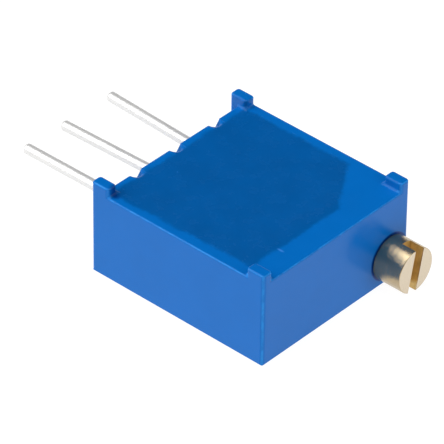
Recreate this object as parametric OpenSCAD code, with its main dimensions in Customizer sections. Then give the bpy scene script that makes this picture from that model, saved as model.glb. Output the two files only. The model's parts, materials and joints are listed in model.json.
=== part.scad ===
// Multi-turn trimmer potentiometer with a worm drive, sealed in a square moulded case.
// Millimetres. The case lies on its large closed face, with the potted face up.
// X runs from the terminal pins (-X) to the adjusting screw (+X), Y is the case width,
// and the origin is the centre of the face that the case lies on.

/* [Case] */
// Length of the case from the pin-side feet to the screw face
body_l = 10.03; // [9.8:0.01:14]
// Width of the case
body_w = 9.53; // [9.2:0.01:13]
// Height of the rim around the potted face
rim_h = 4.37; // [4.1:0.01:6]
// Height of the corner posts above the rim
post_rise = 0.46; // [0.1:0.01:1]
// Length of a corner post along X
post_l = 1.0; // [0.7:0.01:1.3]
// Width of a corner post along Y
post_w = 0.58; // [0.4:0.01:0.9]
// How far the feet stand out of the pin-side wall
foot_rise = 0.5; // [0.2:0.01:0.6]
// Radius of the upright outer corners
corner_r = 0.1; // [0.05:0.01:0.2]
// Thickness of the floor
floor_t = 0.55; // [0.35:0.01:0.6]
// Thickness of the pin-side wall
pin_wall = 0.45; // [0.35:0.01:0.6]
// Thickness of the wall that carries the screw
screw_wall = 1.5; // [1.3:0.01:1.6]
// Thickness of the long wall away from the screw
side_wall = 0.55; // [0.4:0.01:0.8]
// Thickness of the long wall beside the screw
thin_wall = 0.42; // [0.35:0.01:0.45]
// Width of the block over the screw, from the outer face
block_w = 1.715; // [1.65:0.005:1.8]
// Height of the block over the screw
block_h = 2.9; // [2.75:0.01:3.3]
// Length along X of the web that fills the basin's corner by the screw
web_l = 1.53; // [0.5:0.01:1.6]
// Width along Y of that web
web_w = 2.35; // [0.5:0.01:2.4]
// Depth of the potting surface below the rim
pot_drop = 0.04; // [0.02:0.01:0.4]

/* [Adjusting screw] */
// Distance of the screw axis from the case's side face
screw_inset = 1.235; // [1.23:0.005:1.35]
// Height of the screw axis
screw_z = 1.3; // [1.2:0.01:1.35]
// Diameter of the head
head_d = 2.22; // [1.9:0.01:2.4]
// How far the head stands out of the case
head_l = 1.54; // [1:0.01:2.5]
// Gap between the head and the case
head_gap = 0.03; // [0.02:0.01:0.1]
// Chamfer on the head's rim
head_chamfer = 0.04; // [0.02:0.01:0.1]
// Width of the driver slot
slot_w = 0.56; // [0.4:0.01:0.7]
// Depth of the driver slot
slot_d = 0.76; // [0.4:0.01:0.9]
// Tilt of the driver slot from upright, in degrees
slot_turn = 12; // [-90:1:90]
// Diameter of the shank in the screw wall
shank_d = 1.56; // [1.54:0.01:1.9]
// Diameter of the shaft between collar, thread and end journal
shaft_d = 0.78; // [0.7:0.01:0.8]
// Radial running clearance of the shank and the end journal
run_gap = 0.02; // [0.01:0.01:0.05]
// Length of the end journal
journal_l = 1.0; // [0.6:0.01:1.1]
// Width of the seal groove
seal_groove_w = 0.5; // [0.4:0.01:0.6]
// Diameter at the bottom of the seal groove
seal_groove_d = 1.0; // [0.9:0.01:1.1]
// Clearance around the compressed seal ring
seal_gap = 0.01; // [0.005:0.005:0.02]

/* [Worm drive] */
// Teeth on the wheel, which is also the turns for one turn of the wheel
wheel_teeth = 30; // [28:1:32]
// Pitch radius of the wheel
wheel_pr = 2.895; // [2.85:0.005:2.9]
// Pitch radius of the worm
worm_pr = 0.6; // [0.58:0.01:0.62]
// Height of the wheel's teeth above the pitch circle
wheel_add = 0.14; // [0.1:0.01:0.15]
// Height of the worm's thread above its pitch radius
worm_add = 0.16; // [0.1:0.01:0.17]
// Clearance between the teeth and the other part's root
root_gap = 0.05; // [0.03:0.01:0.08]
// Play in the mesh, along the pitch line
mesh_play = 0.05; // [0.03:0.01:0.08]
// Pressure angle, in degrees
pressure_angle = 20; // [16:1:22]
// Turns of thread on the worm
worm_turns = 7; // [6:1:7]
// Thickness of the wheel
wheel_t = 0.7; // [0.5:0.01:0.8]
// Diameter of the wheel's bore
wheel_bore_d = 4.1; // [3.8:0.01:4.3]
// Travel of the wheel between its stops, in degrees
wheel_travel = 300; // [240:1:310]

/* [Wiper] */
// Diameter of the stud that the wiper carrier turns on
stud_d = 1.2; // [1:0.01:1.3]
// Radial clearance of the carrier on the stud
stud_gap = 0.03; // [0.01:0.01:0.06]
// Diameter of the carrier's flange
flange_d = 4.9; // [4.6:0.01:5]
// Thickness of the spring metal
leaf_t = 0.08; // [0.05:0.01:0.1]
// Diameter of the clutch spring's wire
clutch_wire_d = 0.22; // [0.15:0.01:0.24]
// Number of fingers on the track
finger_count = 3; // [2:1:4]
// Width of one finger
finger_w = 0.16; // [0.1:0.01:0.2]

/* [Resistance element] */
// Thickness of the ceramic plate
plate_t = 0.5; // [0.4:0.01:0.62]
// Thickness of a printed film
film_t = 0.03; // [0.02:0.01:0.04]
// Middle radius of the resistive track
track_r = 2.35; // [2.25:0.01:2.4]
// Width of the resistive track
track_w = 0.5; // [0.3:0.01:0.55]
// Middle radius of the collector ring
collector_r = 1.2; // [1.15:0.01:1.25]
// Width of a printed conductor
conductor_w = 0.44; // [0.3:0.01:0.5]

/* [Terminal pins] */
// Diameter of a pin
pin_d = 0.51; // [0.4:0.01:0.62]
// Distance between neighbouring pins
pin_pitch = 2.54; // [2.4:0.01:2.54]
// Height of the pins
pin_z = 2.41; // [2.36:0.01:2.5]
// Length of a pin beyond the feet
pin_l = 6.05; // [3:0.05:12]
// Rounding of a pin's tip
pin_tip_r = 0.14; // [0.05:0.01:0.2]
// Sideways lean of each pin, in degrees, from pin 1 to pin 3
pin_lean = [-2.5, 1.8, 0.5]; // [-2.5:0.1:2.5]
// Width of a pin's slot in the wall's outer face
slot_out_w = 0.74; // [0.7:0.01:1]
// Clearance around a pin in its slot
pin_gap = 0.025; // [0.01:0.005:0.05]
// Height of the potting in the pin slots
plug_h = 4.0; // [3.2:0.01:4.1]

/* [Hidden] */
$fn = 64;
eps = 0.1; // overshoot of a cut past the face that it opens, and depth of a joint between shapes

case_blue = [0.10, 0.36, 0.78];
resin_blue = [0.02, 0.24, 0.55];
brass = [0.83, 0.72, 0.42];
tin = [0.84, 0.84, 0.83];
spring_metal = [0.80, 0.72, 0.50];
polymer = [0.88, 0.87, 0.80];
ceramic_white = [0.93, 0.92, 0.88];

// Case faces
x0 = -body_l / 2;
x1 = body_l / 2;
y1 = body_w / 2;
wall_x = x0 + foot_rise;
cav_x0 = wall_x + pin_wall;
cav_x1 = x1 - screw_wall;
cav_y0 = -y1 + side_wall;
cav_y1 = y1 - thin_wall;
block_y = y1 - block_w;
pot_z = rim_h - pot_drop;

// Drive
screw_y = y1 - screw_inset;
wheel_x = (cav_x0 + cav_x1) / 2;
wheel_y = screw_y - worm_pr - wheel_pr;
tooth_pitch = 2 * PI * wheel_pr / wheel_teeth;
tooth_w = tooth_pitch / 2 - mesh_play;
worm_or = worm_pr + worm_add;
worm_rr = worm_pr - wheel_add - root_gap;
wheel_or = wheel_pr + wheel_add;
wheel_rr = wheel_pr - worm_add - root_gap;
worm_x0 = wheel_x - worm_turns * tooth_pitch / 2;
worm_x1 = wheel_x + worm_turns * tooth_pitch / 2;
worm_sides = 12; // corners in one turn of the thread, and steps in one pitch
chamber_gap = 0.065; // room around the wheel's teeth
chamber_r = wheel_or + chamber_gap;
end_gap = 0.05; // room at the end of the thread
journal_end_gap = 0.1; // room past the end journal
shank_r = shank_d / 2;
bore_r = shank_r + run_gap;
journal_bore_r = shaft_d / 2 + run_gap;
wheel_z0 = screw_z - wheel_t / 2;
wheel_z1 = screw_z + wheel_t / 2;

// Screw retainer: a U-shaped clip pressed down into a pocket, around a groove in the screw
clip_t = 0.24;
clip_gap = 0.02; // room around the clip in its pocket
clip_inset = 0.515; // from the screw wall's inner face
clip_x = cav_x1 - clip_inset;
clip_throat_r = shaft_d / 2 + 0.05;
clip_seat = 0.02; // how far the clip reaches past the bore on each side
clip_w = 2 * (bore_r + clip_seat);
clip_z0 = screw_z - bore_r + 0.15;
clip_z1 = pin_z - plate_t / 2 - 0.04;
clip_groove_x0 = clip_x - 2 * clip_gap;
clip_groove_x1 = clip_x + clip_t + 2 * clip_gap;
collar_l = 0.76;
seal_depth = 0.965; // of the seal groove, from the screw face
seal_x = x1 - seal_depth;
seal_side_gap = 0.04;
seal_corner_r = 0.1;

// Resistance element
plate_z0 = pin_z - plate_t / 2;
plate_z1 = pin_z + plate_t / 2;
film_z = plate_z0 - film_t;
film_relief = 0.03; // room under the films
plate_gap = 0.1; // room around the plate in its basin
plate_x0 = cav_x0 + plate_gap;
track_half = wheel_travel / 2;
pad_l = 0.6;

// Wiper carrier
flange_z0 = floor_t + 0.07;
flange_z1 = wheel_z0 - 0.04;
hub_r = wheel_bore_d / 2 - 0.06;
hub_z1 = wheel_z1 + 0.08;
boss_r = 0.95;
boss_z1 = hub_z1 + 0.14;
stud_z1 = hub_z1 + 0.2;
lug_r = flange_d / 2 + 0.3;
lug_half = 13; // half angle of the turning lug, in degrees
stop_gap = 2; // angle left between the lug and the stop at each limit
stop_half = 180 - track_half - lug_half - stop_gap;
stop_r0 = flange_d / 2 + 0.08;
clutch_groove_r = hub_r - 0.27;
clutch_mid_r = wheel_bore_d / 2 - clutch_wire_d / 2 - 0.01;
clutch_groove_h = clutch_wire_d + 0.06;
clutch_opening = 30; // angle between the spring's ends

// Contact wiper
leaf_r = 1.66;
leaf_bore_r = boss_r + 0.03;
wiper_gap = 0.02; // left between a finger and the film that it presses on
finger_pitch = finger_w + 0.04;
contact_half = 0.1; // half the length of a finger's raised contact
contact_crown = 0.02; // how far past its middle the contact's flat top reaches

// Pins
pin_r = pin_d / 2;
pin_y = [pin_pitch, 0, -pin_pitch];
fork_gap = 0.01; // between a fork and the plate, and around it in the potting
fork_x0 = cav_x0 + fork_gap / 2;
fork_x1 = plate_x0 - fork_gap;
neck_w = pin_d * 0.66;
neck_in = 0.1; // how far the neck reaches into the round wire
tine_x1 = plate_x0 + 0.5;
tine_t = 0.12;
tine_w = conductor_w;
tine_z0 = film_z - fork_gap - tine_t;
tine_z1 = plate_z1 + fork_gap + tine_t;
tine_room = 0.1; // at the sides of a lower tine in its pocket
tine_floor_room = 0.08;
tine_end_room = 0.25;
plug_x = wall_x + 0.06;
plug_gap = 0.005; // between a potting plug and its slot
solder_leg = 0.1;

// Point at a radius and an angle
function polar(r, angle) = r * [cos(angle), sin(angle)];

// A box between two corners
module box(x_a, y_a, z_a, x_b, y_b, z_b) {
    translate([x_a, y_a, z_a]) cube([x_b - x_a, y_b - y_a, z_b - z_a]);
}

// A flat rectangle with round corners, between two corners
module round_rect(x_a, y_a, x_b, y_b, r) {
    translate([x_a + r, y_a]) square([x_b - x_a - 2 * r, y_b - y_a]);
    translate([x_a, y_a + r]) square([x_b - x_a, y_b - y_a - 2 * r]);
    for (x = [x_a + r, x_b - r], y = [y_a + r, y_b - r]) {
        translate([x, y]) circle(r);
    }
}

// A cylinder along the screw axis, between two places along X
module on_screw(r, x_a, x_b) {
    translate([x_a, screw_y, screw_z]) rotate([0, 90, 0]) cylinder(h = x_b - x_a, r = r);
}

// Places its children on the wheel's axis
module at_wheel(z = 0) {
    translate([wheel_x, wheel_y, z]) children();
}

// A flat strip between two points
module strip(a, b, w) {
    run = b - a;
    translate(a) rotate(atan2(run[1], run[0])) translate([0, -w / 2]) square([norm(run), w]);
}

// A wedge with its corner at the origin, up to 180 degrees wide, that reaches past radius r
module wedge(r, mid, half) {
    polygon([[0, 0], polar(2 * r, mid - half), polar(4 * r, mid), polar(2 * r, mid + half)]);
}

// A sector of a flat ring, centred on angle mid
module ring_sector(r_a, r_b, mid, half) {
    intersection() {
        difference() {
            circle(r_b);
            circle(r_a);
        }
        if (half < 90) {
            wedge(r_b, mid, half);
        } else {
            difference() {
                square(8 * r_b, center = true);
                wedge(r_b, mid + 180, 180 - half);
            }
        }
    }
}

// ---- Case ----

// Plan of one corner post, at the corner that the signs name
module post_plan(sx, sy) {
    x_a = sx < 0 ? x0 : x1 - post_l;
    y_a = sy < 0 ? -y1 : y1 - post_w;
    round_rect(x_a, y_a, x_a + post_l, y_a + post_w, corner_r);
}

// Plan of a pin slot: it narrows inwards through the wall
module slot_plan(y, x_a, x_b) {
    in_w = pin_d + 2 * pin_gap;
    slope = (slot_out_w - in_w) / 2 / pin_wall;
    half_a = slot_out_w / 2 - slope * (x_a - wall_x);
    half_b = slot_out_w / 2 - slope * (x_b - wall_x);
    polygon([[x_a, y - half_a], [x_b, y - half_b], [x_b, y + half_b], [x_a, y + half_a]]);
}

// Plan of the basin: a rectangle up to side y_b whose corner by the screw is cut off by the web
module basin_plan(y_b, gap) {
    slope = web_w / web_l;
    x_b = cav_x1 - gap;
    corner_x = cav_x1 - web_l - gap * norm([web_l, web_w]) / web_w + (cav_y1 - y_b) / slope;
    corner_y = cav_y1 - web_w + gap * (slope - norm([web_l, web_w]) / web_l);
    polygon([[cav_x0 + gap, cav_y0 + gap], [x_b, cav_y0 + gap], [x_b, corner_y],
        [corner_x, y_b], [cav_x0 + gap, y_b]]);
}

// A prism over the basin's plan
module basin_prism(y_b, gap, z_a, z_b) {
    translate([0, 0, z_a]) linear_extrude(z_b - z_a) basin_plan(y_b, gap);
}

module pin_slot(y) {
    translate([0, 0, pin_z]) linear_extrude(rim_h - pin_z + eps) slot_plan(y, wall_x - eps, cav_x0 + eps);
    translate([wall_x - eps, y, pin_z]) rotate([0, 90, 0]) {
        cylinder(h = pin_wall + 2 * eps, r = pin_r + pin_gap);
    }
}

module housing_shell() {
    linear_extrude(rim_h) {
        round_rect(wall_x, -y1, x1, y1, corner_r);
        for (sy = [-1, 1]) post_plan(-1, sy);
    }
    linear_extrude(rim_h + post_rise) {
        for (sx = [-1, 1], sy = [-1, 1]) post_plan(sx, sy);
    }
}

module housing() {
    color(case_blue) {
        difference() {
            housing_shell();
            // basin for the ceramic plate and the potting
            basin_prism(block_y, 0, plate_z0, rim_h + eps);
            basin_prism(cav_y1, 0, block_h, rim_h + eps);
            // wheel chamber
            at_wheel(floor_t) cylinder(h = plate_z0 - floor_t + eps, r = chamber_r);
            // screw bore, and the blind bore for the end journal
            on_screw(bore_r, worm_x0 - end_gap, x1 + eps);
            on_screw(journal_bore_r, worm_x0 - journal_l - journal_end_gap, worm_x0);
            // pocket for the screw retainer
            box(clip_x - clip_gap, screw_y - clip_w / 2 - clip_gap, clip_z0 - clip_gap,
                clip_x + clip_t + clip_gap, screw_y + clip_w / 2 + clip_gap, block_h + eps);
            // relief under the printed films
            box(cav_x0, pin_y[2] - conductor_w - eps, film_z - film_relief,
                wheel_x, block_y, plate_z0 + eps);
            for (y = pin_y) {
                pin_slot(y);
                // pocket under the plate for the lower fork tine
                box(cav_x0, y - tine_w / 2 - tine_room, tine_z0 - tine_floor_room,
                    tine_x1 + tine_end_room, y + tine_w / 2 + tine_room, plate_z0 + eps);
            }
        }
        at_wheel(floor_t - eps) cylinder(h = stud_z1 - floor_t + eps, r = stud_d / 2);
        // end stop for the carrier's lug
        at_wheel(floor_t - eps) linear_extrude(flange_z1 - floor_t + eps) {
            ring_sector(stop_r0, chamber_r + eps, 180, stop_half);
        }
    }
}

module potting_resin() {
    color(resin_blue) difference() {
        union() {
            basin_prism(block_y, 0, plate_z1, pot_z);
            basin_prism(cav_y1, 0, block_h, pot_z);
            for (y = pin_y) {
                translate([0, 0, pin_z]) linear_extrude(plug_h - pin_z) slot_plan(y, plug_x, cav_x0);
                translate([plug_x, y, pin_z]) rotate([0, 90, 0]) {
                    cylinder(h = cav_x0 - plug_x, r = pin_r + pin_gap - plug_gap, $fn = 12);
                }
            }
        }
        for (y = pin_y) {
            pin_neck(y, fork_gap);
            box(fork_x0 - fork_gap, y - tine_w / 2 - fork_gap, plate_z0, tine_x1 + fork_gap,
                y + tine_w / 2 + fork_gap, tine_z1 + fork_gap);
        }
    }
}

// ---- Adjusting screw ----

// Radius of the worm at a distance along X from its thread's crest
function thread_r(u) = max(worm_rr, min(worm_or, worm_pr + (tooth_w / 2 - u) / tan(pressure_angle)));

// Distance along X from the nearest crest of the right-hand thread
function crest_gap(x, turn) =
    let (phase = (x - wheel_x) / tooth_pitch - turn / 360)
    tooth_pitch * abs(phase - round(phase));

// The thread runs out to the root over half a pitch at each end
function run_out(x) = min(1, (x - worm_x0) / (tooth_pitch / 2), (worm_x1 - x) / (tooth_pitch / 2));

module worm_thread() {
    rings = worm_turns * worm_sides;
    points = [
        for (i = [0:rings], k = [0:worm_sides - 1])
            let (
                x = worm_x0 + i * tooth_pitch / worm_sides,
                turn = k * 360 / worm_sides,
                r = worm_rr + (thread_r(crest_gap(x, turn)) - worm_rr) * max(0, run_out(x))
            )
            [x, screw_y + r * cos(turn), screw_z + r * sin(turn)]
    ];
    sides = [
        for (i = [0:rings - 1], k = [0:worm_sides - 1])
            let (
                a = i * worm_sides + k,
                b = i * worm_sides + (k + 1) % worm_sides,
                c = a + worm_sides,
                d = b + worm_sides
            )
            each [[a, c, b], [b, c, d]]
    ];
    near_cap = [for (k = [0:worm_sides - 1]) k];
    far_cap = [for (k = [worm_sides - 1:-1:0]) rings * worm_sides + k];
    polyhedron(points, concat([near_cap, far_cap], sides));
}

module adjusting_screw() {
    head_x0 = x1 + head_gap;
    head_x1 = x1 + head_l;
    color(brass) difference() {
        union() {
            worm_thread();
            on_screw(shaft_d / 2, worm_x0 - journal_l, worm_x0 + eps);
            on_screw(shaft_d / 2, worm_x1 - eps, clip_groove_x1 + eps);
            on_screw(worm_or, clip_groove_x0 - collar_l, clip_groove_x0);
            on_screw(shank_r, clip_groove_x1, head_x0 + eps);
            on_screw(head_d / 2, head_x0, head_x1 - head_chamfer);
            translate([head_x1 - head_chamfer, screw_y, screw_z]) rotate([0, 90, 0]) {
                cylinder(h = head_chamfer, r1 = head_d / 2, r2 = head_d / 2 - head_chamfer);
            }
        }
        difference() {
            on_screw(shank_r + eps, seal_x, seal_x + seal_groove_w);
            on_screw(seal_groove_d / 2, seal_x - eps, seal_x + seal_groove_w + eps);
        }
        translate([head_x1 - slot_d, screw_y, screw_z]) rotate([-slot_turn, 0, 0]) {
            translate([0, -slot_w / 2, -head_d]) cube([slot_d + eps, slot_w, 2 * head_d]);
        }
    }
}

module screw_o_ring() {
    r_in = seal_groove_d / 2 + seal_gap;
    r_out = bore_r - seal_gap;
    long = seal_groove_w - 2 * seal_side_gap;
    color("dimgray") translate([seal_x + seal_side_gap, screw_y, screw_z]) rotate([0, 90, 0]) {
        rotate_extrude() round_rect(r_in, 0, r_out, long, seal_corner_r);
    }
}

module screw_retainer() {
    color(tin) difference() {
        box(clip_x, screw_y - clip_w / 2, clip_z0, clip_x + clip_t, screw_y + clip_w / 2, clip_z1);
        on_screw(clip_throat_r, clip_x - eps, clip_x + clip_t + eps);
        box(clip_x - eps, screw_y - clip_throat_r, clip_z0 - eps,
            clip_x + clip_t + eps, screw_y + clip_throat_r, screw_z);
    }
}

// ---- Worm wheel and wiper ----

// Involute of an angle, in degrees
function involute(a) = tan(a) * 180 / PI - a;

// Half of a tooth's width at radius r, as an angle
function half_tooth(r) =
    let (base_r = wheel_pr * cos(pressure_angle))
    tooth_w / 2 / wheel_pr * 180 / PI + involute(pressure_angle) - involute(acos(min(1, base_r / r)));

module wheel_plan() {
    steps = 4;
    radii = [for (i = [0:steps]) wheel_rr + (wheel_or - wheel_rr) * i / steps];
    polygon([
        for (tooth = [0:wheel_teeth - 1])
            let (mid = 90 + tooth * 360 / wheel_teeth)
            each concat(
                [for (r = radii) polar(r, mid - half_tooth(r))],
                [for (i = [steps:-1:0]) polar(radii[i], mid + half_tooth(radii[i]))]
            )
    ]);
}

module worm_wheel() {
    color(polymer) difference() {
        at_wheel(wheel_z0) linear_extrude(wheel_t) wheel_plan();
        at_wheel(wheel_z0 - eps) cylinder(h = wheel_t + 2 * eps, r = wheel_bore_d / 2);
    }
}

module wiper_carrier() {
    color(polymer) difference() {
        union() {
            at_wheel(flange_z0) cylinder(h = flange_z1 - flange_z0, r = flange_d / 2);
            at_wheel(flange_z0) cylinder(h = hub_z1 - flange_z0, r = hub_r);
            at_wheel(flange_z0) cylinder(h = boss_z1 - flange_z0, r = boss_r);
            at_wheel(flange_z0) linear_extrude(flange_z1 - flange_z0) {
                ring_sector(flange_d / 2 - eps, lug_r, 0, lug_half);
            }
        }
        at_wheel(flange_z0 - eps) cylinder(h = boss_z1 - flange_z0 + 2 * eps, r = stud_d / 2 + stud_gap);
        at_wheel(screw_z - clutch_groove_h / 2) difference() {
            cylinder(h = clutch_groove_h, r = hub_r + eps);
            translate([0, 0, -eps]) cylinder(h = clutch_groove_h + 2 * eps, r = clutch_groove_r);
        }
    }
}

module clutch_spring() {
    color(spring_metal) at_wheel(screw_z) rotate([0, 0, clutch_opening / 2]) {
        rotate_extrude(angle = 360 - clutch_opening) {
            translate([clutch_mid_r, 0]) circle(clutch_wire_d / 2, $fn = 24);
        }
    }
}

// A finger along X at distance y, from its root on the leaf to its raised contact at radius r
module finger(root, r, y) {
    way = sign(r - root);
    top = film_z - wiper_gap - hub_z1;
    bend = r - way * contact_half;
    tip = r + way * contact_half;
    translate([0, y + finger_w / 2, 0]) rotate([90, 0, 0]) linear_extrude(finger_w) {
        polygon([[root, 0], [bend, top - leaf_t], [r, top - leaf_t], [tip, top - 2 * leaf_t],
            [tip, top - leaf_t], [r + way * contact_crown, top], [bend, top], [root, leaf_t]]);
    }
}

module contact_wiper() {
    span = (finger_count - 1) * finger_pitch;
    color(spring_metal) at_wheel(hub_z1) {
        difference() {
            cylinder(h = leaf_t, r = leaf_r);
            translate([0, 0, -eps]) cylinder(h = leaf_t + 2 * eps, r = leaf_bore_r);
        }
        for (i = [0:finger_count - 1]) finger(leaf_r - eps, track_r, i * finger_pitch - span / 2);
        for (side = [-1, 1]) {
            rotate([0, 0, 180]) finger(leaf_r - eps / 2, collector_r, side * finger_pitch * 0.6);
        }
    }
}

// ---- Resistance element ----

module ceramic_substrate() {
    color(ceramic_white) basin_prism(block_y - plate_gap / 2, plate_gap, plate_z0, plate_z1);
}

module track_plan() {
    translate([wheel_x, wheel_y]) ring_sector(track_r - track_w / 2, track_r + track_w / 2, 0, track_half);
}

module film() {
    translate([0, 0, film_z]) linear_extrude(film_t) children();
}

// Solder pad of a pin, at the plate's edge
module pad_plan(y) {
    translate([plate_x0, y - conductor_w]) square([pad_l, 2 * conductor_w]);
}

module resistive_track() {
    color("#2b2b2b") film() track_plan();
}

module collector_film() {
    centre = [wheel_x, wheel_y];
    color("silver") film() {
        difference() {
            union() {
                translate(centre) circle(collector_r + conductor_w / 2);
                strip(centre, [plate_x0 + pad_l / 2, pin_y[1]], conductor_w);
            }
            translate(centre) circle(collector_r - conductor_w / 2);
        }
        pad_plan(pin_y[1]);
    }
}

// Conductor from an end of the track to its pin; side is +1 for pin 1 and -1 for pin 3
module end_conductor(side, y) {
    half = 3;
    turn = side * (track_half + half);
    centre = [wheel_x, wheel_y];
    color("silver") film() difference() {
        union() {
            translate(centre) ring_sector(track_r - track_w / 2, track_r + track_w / 2, turn, half);
            strip(centre + polar(track_r, turn), [plate_x0 + pad_l / 2, y], conductor_w / 2);
            pad_plan(y);
        }
        track_plan();
    }
}

module end_conductor_1() { end_conductor(1, pin_y[0]); }
module end_conductor_3() { end_conductor(-1, pin_y[2]); }

// ---- Terminal pins ----

// Places its children at a pin's exit from the wall, with +Z along the pin
module on_pin(i) {
    translate([wall_x, pin_y[i], pin_z]) rotate([0, 0, pin_lean[i]]) rotate([0, -90, 0]) children();
}

// Square neck of a pin, coined into the wire where it passes through the wall
module pin_neck(y, margin) {
    half = neck_w / 2 + margin;
    box(wall_x - neck_in, y - half, pin_z - half, fork_x1, y + half, pin_z + half);
}

module terminal_pin(i) {
    y = pin_y[i];
    long = foot_rise + pin_l;
    corner = [pin_r - pin_tip_r, long - pin_tip_r];
    color(tin) {
        on_pin(i) rotate_extrude() {
            square([pin_r, corner[1]]);
            square([corner[0], long]);
            intersection() {
                translate(corner) circle(pin_tip_r);
                translate(corner) square(pin_tip_r);
            }
        }
        pin_neck(y, 0);
        // fork soldered over the plate's edge
        box(fork_x0, y - tine_w / 2, tine_z0, fork_x1, y + tine_w / 2, tine_z1);
        box(fork_x0, y - tine_w / 2, tine_z0, tine_x1, y + tine_w / 2, tine_z0 + tine_t);
        box(fork_x0, y - tine_w / 2, tine_z1 - tine_t, tine_x1, y + tine_w / 2, tine_z1);
    }
}

// Fillet of solder between the lower tine's end and the printed pad
module solder_joint(i) {
    hollow = solder_leg / 3;
    color("gainsboro") translate([tine_x1, pin_y[i] + tine_w / 2, film_z]) rotate([90, 0, 0]) {
        linear_extrude(tine_w) polygon([[0, 0], [solder_leg, 0], [hollow, -hollow], [0, -solder_leg]]);
    }
}

module terminal_pin_1() { terminal_pin(0); }
module terminal_pin_2() { terminal_pin(1); }
module terminal_pin_3() { terminal_pin(2); }
module solder_joint_1() { solder_joint(0); }
module solder_joint_2() { solder_joint(1); }
module solder_joint_3() { solder_joint(2); }

housing();
potting_resin();
adjusting_screw();
screw_o_ring();
screw_retainer();
worm_wheel();
wiper_carrier();
clutch_spring();
contact_wiper();
ceramic_substrate();
resistive_track();
collector_film();
end_conductor_1();
end_conductor_3();
terminal_pin_1();
terminal_pin_2();
terminal_pin_3();
solder_joint_1();
solder_joint_2();
solder_joint_3();
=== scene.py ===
"""Looks of a square sealed multi-turn trimmer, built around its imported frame.

Every shape is made in millimetres in the frame's own axes and scaled to metres
when it is finished, so each number below can be read as a real size.
"""

import sys
import json
import logging
import math
from collections.abc import Iterator
from contextlib import contextmanager
from dataclasses import dataclass, field
from enum import Enum
from functools import reduce
from itertools import product

import bmesh
import bpy
import numpy as np
from mathutils import Matrix, Vector

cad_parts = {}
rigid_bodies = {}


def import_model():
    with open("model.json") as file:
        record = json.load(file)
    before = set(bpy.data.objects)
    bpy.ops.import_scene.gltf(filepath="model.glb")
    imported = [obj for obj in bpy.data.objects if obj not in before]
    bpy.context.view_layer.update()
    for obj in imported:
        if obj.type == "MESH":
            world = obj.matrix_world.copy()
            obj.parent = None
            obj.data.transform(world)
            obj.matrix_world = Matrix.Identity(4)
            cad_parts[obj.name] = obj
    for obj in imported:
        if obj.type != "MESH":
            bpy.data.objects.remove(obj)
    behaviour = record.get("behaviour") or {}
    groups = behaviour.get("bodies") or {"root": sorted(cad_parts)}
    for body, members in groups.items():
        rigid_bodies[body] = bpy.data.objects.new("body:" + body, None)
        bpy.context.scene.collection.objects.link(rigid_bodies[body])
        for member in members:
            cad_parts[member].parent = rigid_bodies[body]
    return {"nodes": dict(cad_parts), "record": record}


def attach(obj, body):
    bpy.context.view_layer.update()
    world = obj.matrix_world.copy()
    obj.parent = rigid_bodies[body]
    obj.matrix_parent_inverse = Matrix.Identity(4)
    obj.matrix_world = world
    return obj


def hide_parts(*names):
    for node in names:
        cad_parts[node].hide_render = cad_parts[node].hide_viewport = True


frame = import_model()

LOG = logging.getLogger("trimmer")
MM = 0.001

# In millimetres: points closer than MERGE are one, and a point within NEAR of a face is on it.
MERGE = 1e-4
NEAR = 2e-3

# The stretch of a noise pattern that a ramp spreads out, for a calm and for a strong mottle.
CALM = (0.3, 0.7)
STRONG = (0.35, 0.7)

Pair = tuple[float, float]
Point = tuple[float, float, float]
Spot = tuple[float, float, float, float]
Socket = bpy.types.NodeSocket


class Cut(Enum):
    """How one solid is combined with another."""

    JOIN = "UNION"
    REMOVE = "DIFFERENCE"
    KEEP_COMMON = "INTERSECT"


class Side(Enum):
    """The two sides along an axis."""

    LOW = -1
    HIGH = 1


# ---------------------------------------------------------------- mesh making


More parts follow.
